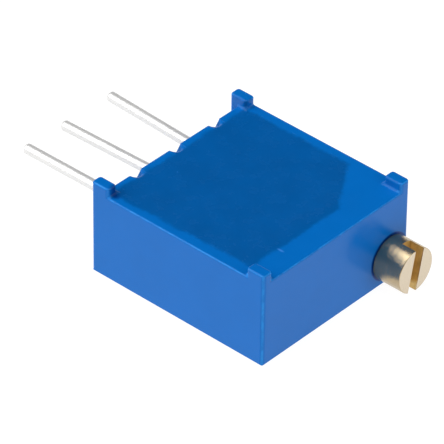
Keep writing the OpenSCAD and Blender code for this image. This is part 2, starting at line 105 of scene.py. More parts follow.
class Bench:
    """Mesh work on objects whose vertices are in millimetres."""

    @staticmethod
    def place(name: str, mesh: bpy.types.Mesh) -> bpy.types.Object:
        """Put a mesh into the scene.

        Args:
            name: Name of the new object.
            mesh: Its mesh.

        Returns:
            The object, at the origin.
        """
        mesh.name = name
        piece = bpy.data.objects.new(name, mesh)
        bpy.context.scene.collection.objects.link(piece)
        return piece

    @staticmethod
    def from_bmesh(name: str, shape: bmesh.types.BMesh) -> bpy.types.Object:
        """Turn a bmesh into an object and free it.

        Args:
            name: Name of the new object.
            shape: The mesh that was built; it is freed.

        Returns:
            The object, at the origin.
        """
        mesh = bpy.data.meshes.new(name)
        shape.to_mesh(mesh)
        shape.free()
        return Bench.place(name, mesh)

    @staticmethod
    @contextmanager
    def editing(piece: bpy.types.Object) -> Iterator[bmesh.types.BMesh]:
        """Open a piece's mesh for editing, and write it back afterwards.

        Args:
            piece: The object.

        Yields:
            Its mesh, ready to be changed.
        """
        shape = bmesh.new()
        shape.from_mesh(piece.data)
        yield shape
        shape.to_mesh(piece.data)
        shape.free()

    @staticmethod
    def solid(name: str, points: list[Point], sides: list[list[int]]) -> bpy.types.Object:
        """Make a closed solid from points and faces, with its faces outwards.

        Args:
            name: Name of the new object.
            points: Corners, in millimetres.
            sides: Corner numbers of each face.

        Returns:
            The object, at the origin.
        """
        shape = bmesh.new()
        corners = [shape.verts.new(p) for p in points]
        for side in sides:
            shape.faces.new([corners[i] for i in side])
        bmesh.ops.recalc_face_normals(shape, faces=shape.faces)
        return Bench.from_bmesh(name, shape)

    @staticmethod
    def extrude(
        name: str, outline: list[Pair], low: float, high: float, axis: str = "Z"
    ) -> bpy.types.Object:
        """Extrude a flat outline.

        Args:
            name: Name of the new object.
            outline: Corners of the outline, in order.
            low: Where the solid starts along the axis.
            high: Where it ends.
            axis: "Z" for an outline in X and Y, or "X" for one in Y and Z.

        Returns:
            The closed solid.
        """
        count = len(outline)
        if axis == "Z":
            points = [(a, b, level) for level in (low, high) for a, b in outline]
        else:
            points = [(level, a, b) for level in (low, high) for a, b in outline]
        sides = [[i, (i + 1) % count, count + (i + 1) % count, count + i] for i in range(count)]
        sides += [list(range(count))[::-1], list(range(count, 2 * count))]
        return Bench.solid(name, points, sides)

    @staticmethod
    def cad_copy(node: str) -> bpy.types.Object:
        """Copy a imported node's mesh, merged and in millimetres.

        Args:
            node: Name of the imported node.

        Returns:
            A free copy that may be reshaped.
        """
        mesh = frame["nodes"][node].data.copy()
        mesh.materials.clear()
        mesh.attributes.remove(mesh.attributes["custom_normal"])
        mesh.transform(Matrix.Scale(1 / MM, 4))
        shape = bmesh.new()
        shape.from_mesh(mesh)
        bmesh.ops.remove_doubles(shape, verts=shape.verts, dist=MERGE)
        bmesh.ops.dissolve_degenerate(shape, edges=shape.edges, dist=MERGE)
        bpy.data.meshes.remove(mesh)
        return Bench.from_bmesh(node + "_copy", shape)

    @staticmethod
    def apply(piece: bpy.types.Object) -> bpy.types.Object:
        """Turn a piece's modifiers into plain mesh.

        Args:
            piece: The object; its modifiers are removed.

        Returns:
            The same object.
        """
        bpy.context.view_layer.update()
        graph = bpy.context.evaluated_depsgraph_get()
        mesh = bpy.data.meshes.new_from_object(piece.evaluated_get(graph), depsgraph=graph)
        piece.modifiers.clear()
        old, piece.data = piece.data, mesh
        bpy.data.meshes.remove(old)
        return piece

    @staticmethod
    def combine(piece: bpy.types.Object, tool: bpy.types.Object, how: Cut) -> bpy.types.Object:
        """Combine a solid with another, which is used up.

        Args:
            piece: The solid that is kept.
            tool: The other solid; it is removed.
            how: The kind of combination.

        Returns:
            The kept object.
        """
        step = piece.modifiers.new(how.name, "BOOLEAN")
        step.operation = how.value
        step.solver = "MANIFOLD"
        step.object = tool
        Bench.apply(piece)
        bpy.data.objects.remove(tool)
        return piece

    @staticmethod
    def flatten_faces(piece: bpy.types.Object, angle: float = 0.5) -> None:
        """Join faces that lie in one plane.

        Args:
            piece: The object whose mesh is cleaned.
            angle: Largest angle, in degrees, that still counts as flat.
        """
        with Bench.editing(piece) as shape:
            bmesh.ops.remove_doubles(shape, verts=shape.verts, dist=MERGE)
            bmesh.ops.dissolve_limit(
                shape, angle_limit=math.radians(angle), verts=shape.verts, edges=shape.edges
            )

    @staticmethod
    def drop_folds(piece: bpy.types.Object, kink: float = 0.4) -> None:
        """Merge doubled points, drop spare ones and delete pairs of faces that lie back to back.

        Args:
            piece: The object whose mesh is cleaned.
            kink: Sharpest turn, in radians, at which a point between two edges is spare.
        """
        with Bench.editing(piece) as shape:
            bmesh.ops.remove_doubles(shape, verts=shape.verts, dist=MERGE)
            spare = [
                point for point in shape.verts
                if len(point.link_edges) == 2 and point.calc_edge_angle(1.0) < kink
            ]
            bmesh.ops.dissolve_verts(shape, verts=spare)
            shape.verts.index_update()
            alike = {}
            for face in shape.faces:
                alike.setdefault(frozenset(v.index for v in face.verts), []).append(face)
            folded = [face for faces in alike.values() if len(faces) > 1 for face in faces]
            bmesh.ops.delete(shape, geom=folded, context="FACES")

    @staticmethod
    def smooth(piece: bpy.types.Object, angle: float = 32.0) -> None:
        """Shade a mesh smooth across its gentle edges and weigh its normals by area.

        Args:
            piece: The object.
            angle: Edges sharper than this many degrees stay sharp.
        """
        Bench.drop_folds(piece)
        piece.data.shade_smooth()
        piece.data.set_sharp_from_angle(angle=math.radians(angle))
        step = piece.modifiers.new("face_weights", "WEIGHTED_NORMAL")
        step.keep_sharp = True
        step.weight = 60
        Bench.apply(piece)

    @staticmethod
    def deliver(
        piece: bpy.types.Object,
        name: str,
        body: str,
        slot: str,
        material: bpy.types.Material,
        stands_for: list[str],
    ) -> bpy.types.Object:
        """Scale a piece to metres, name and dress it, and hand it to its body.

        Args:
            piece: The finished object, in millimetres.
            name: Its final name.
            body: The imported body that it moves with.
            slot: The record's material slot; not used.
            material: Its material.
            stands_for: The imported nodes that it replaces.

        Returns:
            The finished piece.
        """
        piece.data.transform(Matrix.Scale(MM, 4))
        piece.name = piece.data.name = name
        piece.data.materials.clear()
        piece.data.materials.append(material)
        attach(piece, body)
        if stands_for:
            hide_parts(*stands_for)
        LOG.info("%s: %d faces on %s", name, len(piece.data.polygons), body)
        return piece


def rectangle(low: Pair, high: Pair) -> list[Pair]:
    """Return the corners of a rectangle between two opposite ones."""
    return [low, (high[0], low[1]), high, (low[0], high[1])]


# ------------------------------------------------------------------ node trees


class NodeWork:
    """Adds linked nodes to one node tree."""

    def __init__(self, tree: bpy.types.NodeTree) -> None:
        """Take the tree that the nodes go into."""
        self.nodes, self.links = tree.nodes, tree.links

    def node(self, kind: str, inputs: dict | None = None, **settings) -> bpy.types.Node:
        """Add a node.

        Args:
            kind: Blender's name for the node's type.
            inputs: Value or socket for each input, by name or number.
            **settings: Properties to set on the node.

        Returns:
            The new node.
        """
        node = self.nodes.new(kind)
        for key, value in settings.items():
            setattr(node, key, value)
        for key, value in (inputs or {}).items():
            if isinstance(value, bpy.types.NodeSocket):
                self.links.new(value, node.inputs[key])
            else:
                node.inputs[key].default_value = value
        return node

    def math(self, how: str, *values: Socket | float) -> Socket:
        """Add a Math node.

        Args:
            how: The operation.
            *values: What it works on, one to three numbers.

        Returns:
            The result's socket.
        """
        return self.node("ShaderNodeMath", dict(enumerate(values)), operation=how).outputs[0]

    def chain(self, how: str, values: list[Socket]) -> Socket:
        """Work one operation through a row of numbers.

        Args:
            how: The operation, such as "ADD" or "MAXIMUM".
            values: The numbers' sockets.

        Returns:
            The result's socket.
        """
        return reduce(lambda total, value: self.math(how, total, value), values)

    def ramp(
        self, value: Socket, low: float, high: Socket | float, a: float = 0.0, b: float = 1.0
    ) -> Socket:
        """Map a value smoothly from one range to another.

        Args:
            value: What is mapped.
            low: Value that gives a.
            high: Value that gives b.
            a: Result at and below low.
            b: Result at and above high.

        Returns:
            The result's socket.
        """
        return self.node(
            "ShaderNodeMapRange",
            {"Value": value, "From Min": low, "From Max": high, "To Min": a, "To Max": b},
            interpolation_type="SMOOTHSTEP",
        ).outputs[0]

    def vector(self, x: Socket | float, y: Socket | float, z: Socket | float) -> Socket:
        """Join three numbers into a vector."""
        return self.node("ShaderNodeCombineXYZ", {0: x, 1: y, 2: z}).outputs[0]

    def split(self, vector: Socket) -> list[Socket]:
        """Split a vector into its three numbers."""
        return list(self.node("ShaderNodeSeparateXYZ", {0: vector}).outputs)


class PathTree(NodeWork):
    """A Geometry Nodes tree with named inputs, run once and turned into a mesh."""

    def __init__(self, name: str, sizes: dict[str, float]) -> None:
        """Start a tree.

        Args:
            name: Name of the tree.
            sizes: Name and value of each size that the tree takes.
        """
        self.tree = bpy.data.node_groups.new(name, "GeometryNodeTree")
        super().__init__(self.tree)
        self.sizes = sizes
        face = self.tree.interface
        face.new_socket("Geometry", in_out="INPUT", socket_type="NodeSocketGeometry")
        self.ids = {}
        for key in sizes:
            socket = face.new_socket(key, in_out="INPUT", socket_type="NodeSocketFloat")
            self.ids[key] = socket.identifier
        self.finish_id = face.new_socket(
            "Finish", in_out="INPUT", socket_type="NodeSocketMaterial"
        ).identifier
        face.new_socket("Geometry", in_out="OUTPUT", socket_type="NodeSocketGeometry")
        self.given = self.nodes.new("NodeGroupInput")

    def size(self, key: str) -> Socket:
        """Return the socket of a named size."""
        return self.given.outputs[key]

    def pick(self, test: Socket, a: Socket, b: Socket) -> Socket:
        """Add a switch that gives b where the test holds, and a elsewhere."""
        return self.node(
            "GeometryNodeSwitch", {"Switch": test, "False": a, "True": b}, input_type="FLOAT"
        ).outputs[0]

    def run(self, geometry: Socket, name: str, material: bpy.types.Material) -> bpy.types.Object:
        """Close the tree, run it and keep its result as a plain mesh.

        Args:
            geometry: The geometry that the tree gives.
            name: Name of the new object.
            material: Finish set on the result.

        Returns:
            The object, in millimetres.
        """
        real = self.node("GeometryNodeRealizeInstances", {"Geometry": geometry})
        dressed = self.node(
            "GeometryNodeSetMaterial",
            {"Geometry": real.outputs[0], "Material": self.given.outputs["Finish"]},
        )
        end = self.nodes.new("NodeGroupOutput")
        self.links.new(dressed.outputs[0], end.inputs[0])
        piece = Bench.place(name, bpy.data.meshes.new(name))
        step = piece.modifiers.new(self.tree.name, "NODES")
        step.node_group = self.tree
        for key, value in self.sizes.items():
            step[self.ids[key]] = float(value)
        step[self.finish_id] = material
        Bench.apply(piece)
        return piece


# ------------------------------------------------------------------- finishes


class Paint(NodeWork):
    """Builds one material's node tree around a Principled shader."""

    def __init__(self, name: str) -> None:
        """Start a material with only its output and shader.

        Args:
            name: Name of the material.
        """
        self.material = bpy.data.materials.new(name)
        self.material.use_nodes = True
        super().__init__(self.material.node_tree)
        self.shader = self.nodes["Principled BSDF"]
        place = self.node("ShaderNodeTexCoord").outputs["Object"]
        self.place = self.node(
            "ShaderNodeVectorMath", {0: place, "Scale": 1 / MM}, operation="SCALE"
        ).outputs[0]
        self.heights: list[Socket] = []

    def normal(self) -> Socket:
        """Return the surface's normal."""
        return self.node("ShaderNodeNewGeometry").outputs["Normal"]

    def absolute(self, vector: Socket) -> Socket:
        """Return a vector with all its numbers made positive."""
        return self.node("ShaderNodeVectorMath", {0: vector}, operation="ABSOLUTE").outputs[0]

    def distance(self, vector: Socket) -> Socket:
        """Return a vector's length."""
        return self.node("ShaderNodeVectorMath", {0: vector}, operation="LENGTH").outputs["Value"]

    def stretch(self, scale: Point, shift: Point = (0.0, 0.0, 0.0)) -> Socket:
        """Return the place in millimetres, stretched and shifted by a Mapping node.

        Args:
            scale: Factor along each axis.
            shift: Offset along each axis.

        Returns:
            The mapped place's socket.
        """
        return self.node(
            "ShaderNodeMapping", {"Vector": self.place, "Location": shift, "Scale": scale}
        ).outputs[0]

    def noise(
        self, scale: float, detail: float = 2.0, rough: float = 0.5, where: Socket | None = None
    ) -> Socket:
        """Add a noise pattern from 0 to 1.

        Args:
            scale: Bumps in a millimetre.
            detail: Octaves.
            rough: How strong the fine octaves are.
            where: Place to read it at, or the plain place.

        Returns:
            The pattern's socket.
        """
        return self.node(
            "ShaderNodeTexNoise",
            {"Vector": where or self.place, "Scale": scale, "Detail": detail, "Roughness": rough},
        ).outputs[0]

    def blend(self, share: Socket | float, a: Socket | Point, b: Socket | Point) -> Socket:
        """Mix two colours.

        Args:
            share: How much of b shows.
            a: First colour.
            b: Second colour.

        Returns:
            The colour's socket.
        """
        node = self.nodes.new("ShaderNodeMix")
        node.data_type = "RGBA"
        node.clamp_factor = True
        for index, value in ((0, share), (6, a), (7, b)):
            if isinstance(value, bpy.types.NodeSocket):
                self.links.new(value, node.inputs[index])
            elif index == 0:
                node.inputs[0].default_value = value
            else:
                node.inputs[index].default_value = (*value, 1.0)
        return node.outputs[2]

    def raise_by(self, height: Socket, depth: float) -> None:
        """Add a bump pattern whose full height is a depth in millimetres."""
        self.heights.append(self.math("MULTIPLY", height, depth))

    def feed(self, name: str, value: Socket | float | Point) -> None:
        """Set or link one of the shader's inputs.

        Args:
            name: The input's name.
            value: A socket to link, or a number or colour to set on the input itself.
        """
        if isinstance(value, bpy.types.NodeSocket):
            self.links.new(value, self.shader.inputs[name])
        elif isinstance(value, tuple):
            self.shader.inputs[name].default_value = (*value, 1.0)
        else:
            self.shader.inputs[name].default_value = value

    def done(self) -> bpy.types.Material:
        """Add up the bump patterns and link them to the shader.

        Returns:
            The finished material.
        """
        if self.heights:
            total = self.chain("ADD", self.heights)
            bump = self.node("ShaderNodeBump", {"Height": total, "Distance": MM, "Strength": 1.0})
            self.links.new(bump.outputs[0], self.shader.inputs["Normal"])
        return self.material


def toned(colour: Point, share: float) -> Point:
    """Return a colour made darker or lighter by a factor."""
    return tuple(part * share for part in colour)


@dataclass(frozen=True)
class Basin:
    """Plan of the basin that holds the potting, in millimetres."""

    low_x: float
    high_x: float
    low_y: float
    high_y: float
    web_length: float
    web_width: float

    def edges(self) -> list[Point]:
        """Describe the plan by the straight edges around it.

        Returns:
            Each edge as a, b, c, where a*x + b*y + c is the way in from it.
        """
        slant = math.hypot(self.web_length, self.web_width)
        a, b = -self.web_width / slant, -self.web_length / slant
        c = -(a * self.high_x + b * (self.high_y - self.web_width))
        return [
            (1, 0, -self.low_x),
            (-1, 0, self.high_x),
            (0, 1, -self.low_y),
            (0, -1, self.high_y),
            (a, b, c),
        ]

    def stain(self) -> list[Point]:
        """Describe the stretch that the potting darkens, some of it over the rim.

        Returns:
            Its edges, in the same form as the plan's.
        """
        overflow = (0.115, 0.25, 0.08, -0.08, -0.06)
        lean = (0.0, 0.0, -0.036, 0.0, 0.0)
        return [
            (a + tilt, b, c + more)
            for (a, b, c), more, tilt in zip(self.edges(), overflow, lean)
        ]

    def inset(self, x: float, y: float) -> float:
        """Return how far a point lies inside the plan."""
        return min(a * x + b * y + c for a, b, c in self.edges())


@dataclass(frozen=True)
class CaseFinish:
    """Blue moulded thermoplastic, with the cast potting's deeper blue inside the basin."""

    basin: Basin
    half_length: float
    half_width: float
    rim: float
    bore: Point
    blue: Point = (0.0008, 0.137, 0.500)
    # A lighter blue painted on the outer rounded edges as a highlight.
    edge_highlight_blue: Point = (0.012, 0.235, 0.69)
    potting_blue: Point = (0.0004, 0.098, 0.356)
    nick_blue: Point = (0.04, 0.22, 0.68)
    # The colour of the painted shade at the inner foot of a corner post and in a ring around the
    # screw's head.
    shade_blue: Point = (0.0006, 0.045, 0.24)
    cloud_light: float = 1.04
    cloud_deep: float = 0.93
    marks: tuple[Spot, ...] = ((3.89, -2.41, 0.26, 0.085), (-3.16, -1.26, 0.05, 0.04))
    # Ovals of painted shade: one at the inner foot of the corner post at low X and low Y.
    post_foot_shades: tuple[Spot, ...] = ((-3.92, -4.42, 0.40, 0.30),)
    marks_solid: float = 0.2
    post_foot_shade_solid: float = 0.1
    sways: tuple[Pair, ...] = ((0.9, 0.06), (5.0, 0.03))
    edge_low: float = -0.10
    edge_high: float = 0.16
    flatness: Pair = (0.97, 0.80)
    outer_zone: Pair = (-0.24, -0.16)
    # The weakest share of the painted edge highlight, where it breaks up in patches.
    highlight_least: float = 0.35
    # Width and reach of the ring of painted shade around the screw's head on the end face.
    head_gap_shade_ring: Pair = (0.05, 0.12)
    head_gap_shade_depth: Pair = (0.4, 0.2)
    sunk: Pair = (0.05, 0.12)
    skirt: Pair = (0.5, 0.3)
    gloss: float = 0.17
    potting_gloss: float = 0.21
    smear: float = 0.08
    edge_rough: float = 0.22
    sunk_rough: float = 0.4
    sheen: float = 0.165
    case_ior: float = 1.52
    potting_ior: float = 1.55
    grain_depth: float = 0.0012
    ripple_depth: float = 0.004
    potting_depth: float = 0.012

    def inset(self, paint: Paint) -> Socket:
        """Build the way in from the basin's outline, with an uneven edge.

        Args:
            paint: The material being built.

        Returns:
            The distance's socket, in millimetres.
        """
        x, y, _ = paint.split(paint.place)
        ways = []
        for a, b, c in self.basin.stain():
            way = paint.math("MULTIPLY_ADD", x, a, c)
            ways.append(paint.math("MULTIPLY_ADD", y, b, way) if b else way)
        nearest = paint.chain("MINIMUM", ways)
        for scale, sway in self.sways:
            uneven = paint.ramp(paint.noise(scale), *CALM, -sway, sway)
            nearest = paint.math("ADD", nearest, uneven)
        return nearest

    def rounded(self, paint: Paint) -> Socket:
        """Find the rounded edges, where no axis lies along the surface's normal.

        Args:
            paint: The material being built.

        Returns:
            The share's socket: 0 on a flat face, 1 in the middle of a rounded edge.
        """
        sides = paint.split(paint.absolute(paint.normal()))
        return paint.ramp(paint.chain("MAXIMUM", sides), *self.flatness)

    def edges(self, paint: Paint) -> Socket:
        """Find the outer rounded edges, where a lighter blue is painted on as a highlight of uneven
        strength.

        Args:
            paint: The material being built.

        Returns:
            The share's socket: 0 on a flat face, up to 1 in the middle of a rounded edge.
        """
        x, y, _ = paint.split(paint.absolute(paint.place))
        out = paint.math(
            "MAXIMUM",
            paint.math("SUBTRACT", x, self.half_length),
            paint.math("SUBTRACT", y, self.half_width),
        )
        outer = paint.ramp(out, *self.outer_zone)
        # The painted highlight's strength varies in patches along the edges.
        patchiness = paint.ramp(paint.noise(2.6, 3.0, 0.6), 0.38, 0.6, self.highlight_least, 1.0)
        return paint.chain("MULTIPLY", [self.rounded(paint), outer, patchiness])

    def head_gap_shade(self, paint: Paint) -> Socket:
        """Find the ring of painted shade on the end face around the screw's head, where the head
        comes close to the face.

        Args:
            paint: The material being built.

        Returns:
            The share's socket: 1 beside the head, 0 elsewhere.
        """
        y, z, radius = self.bore
        away = paint.distance(paint.stretch((0.0, 1.0, 1.0), (0.0, -y, -z)))
        near, far = self.head_gap_shade_ring
        ring = paint.ramp(away, radius + far, radius + near)
        deep, shallow = self.head_gap_shade_depth
        x = paint.split(paint.place)[0]
        near_end = paint.ramp(x, self.half_length - deep, self.half_length - shallow)
        return paint.math("MULTIPLY", ring, near_end)

    def below_rim(self, paint: Paint, most: float = 1.0) -> Socket:
        """Find the surface below the rim's height.

        Args:
            paint: The material being built.
            most: Value well below the rim.

        Returns:
            The value's socket: 0 at the rim.
        """
        height = paint.split(paint.place)[2]
        start, full = self.sunk
        return paint.ramp(height, self.rim - start, self.rim - full, 0.0, most)

    def colour(self, paint: Paint, poured: bool) -> Socket:
        """Build the colour that the case and the potting share, with a painted highlight on the
        outer rounded edges and painted shade at a corner post's foot and around the screw's head.

        Args:
            paint: The material being built.
            poured: Whether this is the potting, which stays deep blue below the rim.

        Returns:
            The colour's socket.
        """
        low, high = self.skirt
        top = paint.ramp(paint.split(paint.place)[2], self.rim - low, self.rim - high)
        share = paint.ramp(self.inset(paint), self.edge_low, self.edge_high)
        share = paint.math("MULTIPLY", share, top)
        if poured:
            share = paint.math("MAXIMUM", share, self.below_rim(paint))
        cloud = paint.ramp(paint.noise(0.7, 3.0), *CALM)
        plain = paint.blend(cloud, self.blue, toned(self.blue, self.cloud_light))
        # Painted highlight: a lighter blue on the outer rounded edges.
        plain = paint.blend(self.edges(paint), plain, self.edge_highlight_blue)
        deep = toned(self.potting_blue, self.cloud_deep)
        mixed = paint.blend(share, plain, paint.blend(cloud, self.potting_blue, deep))
        # Painted shade at the inner foot of a corner post.
        post_foot_shades = self.spots(paint, self.post_foot_shades, self.post_foot_shade_solid)
        mixed = paint.blend(post_foot_shades, mixed, self.shade_blue)
        # Painted shade: a dark ring on the end face around the screw's head.
        mixed = paint.blend(self.head_gap_shade(paint), mixed, self.shade_blue)
        marks = self.spots(paint, self.marks, self.marks_solid)
        return paint.blend(marks, mixed, self.nick_blue)

    def spots(self, paint: Paint, places: tuple[Spot, ...], solid: float) -> Socket:
        """Find small oval spots on the top.

        Args:
            paint: The material being built.
            places: Middle, length and width of each spot.
            solid: The part of each radius that is fully covered.

        Returns:
            The share's socket: 1 on a spot, 0 elsewhere.
        """
        shares = []
        for x, y, length, width in places:
            away = paint.stretch((1 / length, 1 / width, 0.0), (-x / length, -y / width, 0.0))
            shares.append(paint.ramp(paint.distance(away), 1.0, solid))
        return paint.chain("MAXIMUM", shares)

    def moulded(self) -> bpy.types.Material:
        """Build the case's material.

        Returns:
            The finished material.
        """
        paint = Paint("moulded_blue_case")
        paint.feed("Base Color", self.colour(paint, False))
        smear = paint.noise(1.1, 4.0, 0.6)
        smear = paint.ramp(smear, 0.3, 0.75, self.gloss, self.gloss + self.smear)
        softer = paint.math("MULTIPLY", self.rounded(paint), self.edge_rough)
        paint.feed("Roughness", paint.math("ADD", smear, softer))
        paint.feed("IOR", self.case_ior)
        paint.feed("Specular IOR Level", self.sheen)
        paint.raise_by(paint.noise(14.0, 3.0), self.grain_depth)
        paint.raise_by(paint.noise(1.3), self.ripple_depth)
        return paint.done()

    def cast(self) -> bpy.types.Material:
        """Build the potting's material.

        Returns:
            The finished material.
        """
        paint = Paint("cast_blue_potting")
        paint.feed("Base Color", self.colour(paint, True))
        smear = paint.noise(2.0, 3.0)
        smear = paint.ramp(smear, *CALM, self.potting_gloss, self.potting_gloss + self.smear)
        dull = self.below_rim(paint, self.sunk_rough)
        paint.feed("Roughness", paint.math("ADD", smear, dull))
        paint.feed("IOR", self.potting_ior)
        paint.feed("Specular IOR Level", self.sheen)
        paint.raise_by(paint.noise(0.5, 1.0), self.potting_depth)
        return paint.done()


@dataclass(frozen=True)
class BrassFinish:
    """Turned brass: rings about the screw's axis, bright end faces and a warm driver slot."""

    screw: "Screw"
    side: Point = (0.52, 0.41, 0.25)
    end: Point = (0.67, 0.57, 0.43)
    slot: Point = (0.74, 0.50, 0.17)
    side_rings: float = 0.010
    end_rings: float = 0.0014
    side_dark: float = 0.88
    slot_dark: float = 0.72
    metal: float = 0.88
    slot_metal: float = 0.44
    wall_blend: Pair = (0.004, 0.012)
    lip_blend: Pair = (0.02, 0.05)
    end_facing: Pair = (0.7, 0.95)
    gloss: Pair = (0.15, 0.27)
    dent_depth: float = 0.0045

    def in_slot(self, paint: Paint, parts: list[Socket]) -> Socket:
        """Find the floor and the walls of the driver slot.

        Args:
            paint: The material being built.
            parts: Place along the axis and across it, from the axis.

        Returns:
            The share's socket: 1 in the slot, 0 elsewhere.
        """
        screw = self.screw
        turn = math.radians(screw.slot_turn)
        x, y, z = parts
        across = paint.math(
            "SUBTRACT",
            paint.math("MULTIPLY", y, math.cos(turn)),
            paint.math("MULTIPLY", z, math.sin(turn)),
        )
        half, floor = screw.slot_width / 2, screw.head_end - screw.slot_depth
        (near, far), (lip, under) = self.wall_blend, self.lip_blend
        inside = paint.ramp(paint.math("ABSOLUTE", across), half + far, half + near)
        deep = paint.ramp(x, floor - far, floor - near)
        below = paint.ramp(x, screw.head_end - lip, screw.head_end - under)
        return paint.chain("MULTIPLY", [inside, deep, below])

    def build(self) -> bpy.types.Material:
        """Build the material.

        Returns:
            The finished material.
        """
        screw = self.screw
        paint = Paint("turned_brass")
        parts = paint.split(paint.stretch((1, 1, 1), (0, -screw.axis_y, -screw.axis_z)))
        x, y, z = parts
        facing = paint.math("ABSOLUTE", paint.split(paint.normal())[0])
        end = paint.ramp(facing, *self.end_facing)
        slot = self.in_slot(paint, parts)
        blotch = paint.ramp(paint.noise(1.6, 4.0, 0.6), *STRONG)
        base = paint.blend(blotch, self.side, toned(self.side, self.side_dark))
        colour = paint.blend(end, base, self.end)
        patchiness = paint.ramp(paint.noise(3.0, 4.0, 0.65), *STRONG)
        warm = paint.blend(patchiness, self.slot, toned(self.slot, self.slot_dark))
        paint.feed("Base Color", paint.blend(slot, colour, warm))
        less = self.slot_metal - self.metal
        paint.feed("Metallic", paint.math("MULTIPLY_ADD", slot, less, self.metal))
        drawn = paint.noise(6.0, 3.0, 0.6, paint.stretch((6, 1, 1)))
        paint.feed("Roughness", paint.ramp(drawn, *CALM, *self.gloss))
        radius = paint.distance(paint.vector(0.0, y, z))
        turned = paint.noise(24.0, 2.0, 0.6, paint.vector(x, 0.0, 0.0))
        turned = paint.math("MULTIPLY", turned, self.side_rings)
        faced = paint.noise(26.0, 2.0, 0.6, paint.vector(radius, 7.0, 0.0))
        faced = paint.math("MULTIPLY", faced, self.end_rings)
        rings = paint.node("ShaderNodeMix", {0: end, 2: turned, 3: faced}).outputs[0]
        paint.raise_by(rings, 1.0)
        dents = paint.noise(2.2, 4.0, 0.65, paint.stretch((9, 1, 1)))
        paint.raise_by(dents, self.dent_depth)
        return paint.done()


@dataclass(frozen=True)
class Metal:
    """Plain metal with fine drawn or rolled marks along one axis."""

    name: str
    colour: Point
    tone: float
    rough: float
    grain: Point
    depth: float
    metallic: float = 1.0
    spread: float = 0.12

    def build(self) -> bpy.types.Material:
        """Build the material.

        Returns:
            The finished material.
        """
        paint = Paint(self.name)
        drawn = paint.noise(1.0, 3.0, 0.6, paint.stretch(self.grain))
        share = paint.ramp(drawn, *STRONG)
        paint.feed("Base Color", paint.blend(share, self.colour, toned(self.colour, self.tone)))
        paint.feed("Metallic", self.metallic)
        paint.feed("Roughness", paint.ramp(drawn, *CALM, self.rough, self.rough + self.spread))
        paint.raise_by(drawn, self.depth)
        return paint.done()


@dataclass(frozen=True)
class Matter:
    """Plain non-metal with a mottled colour and a fine surface."""

    name: str
    colour: Point
    other: Point
    rough: float
    scale: float
    depth: float
    spread: float = 0.1
    fineness: float = 8.0

    def build(self) -> bpy.types.Material:
        """Build the material.

        Returns:
            The finished material.
        """
        paint = Paint(self.name)
        cloud = paint.noise(self.scale, 3.0)
        share = paint.ramp(cloud, 0.35, 0.65)
        paint.feed("Base Color", paint.blend(share, self.colour, self.other))
        paint.feed("Roughness", paint.ramp(cloud, *CALM, self.rough, self.rough + self.spread))
        paint.raise_by(paint.noise(self.scale * self.fineness, 3.0), self.depth)
        return paint.done()


# -------------------------------------------------------------------- the case


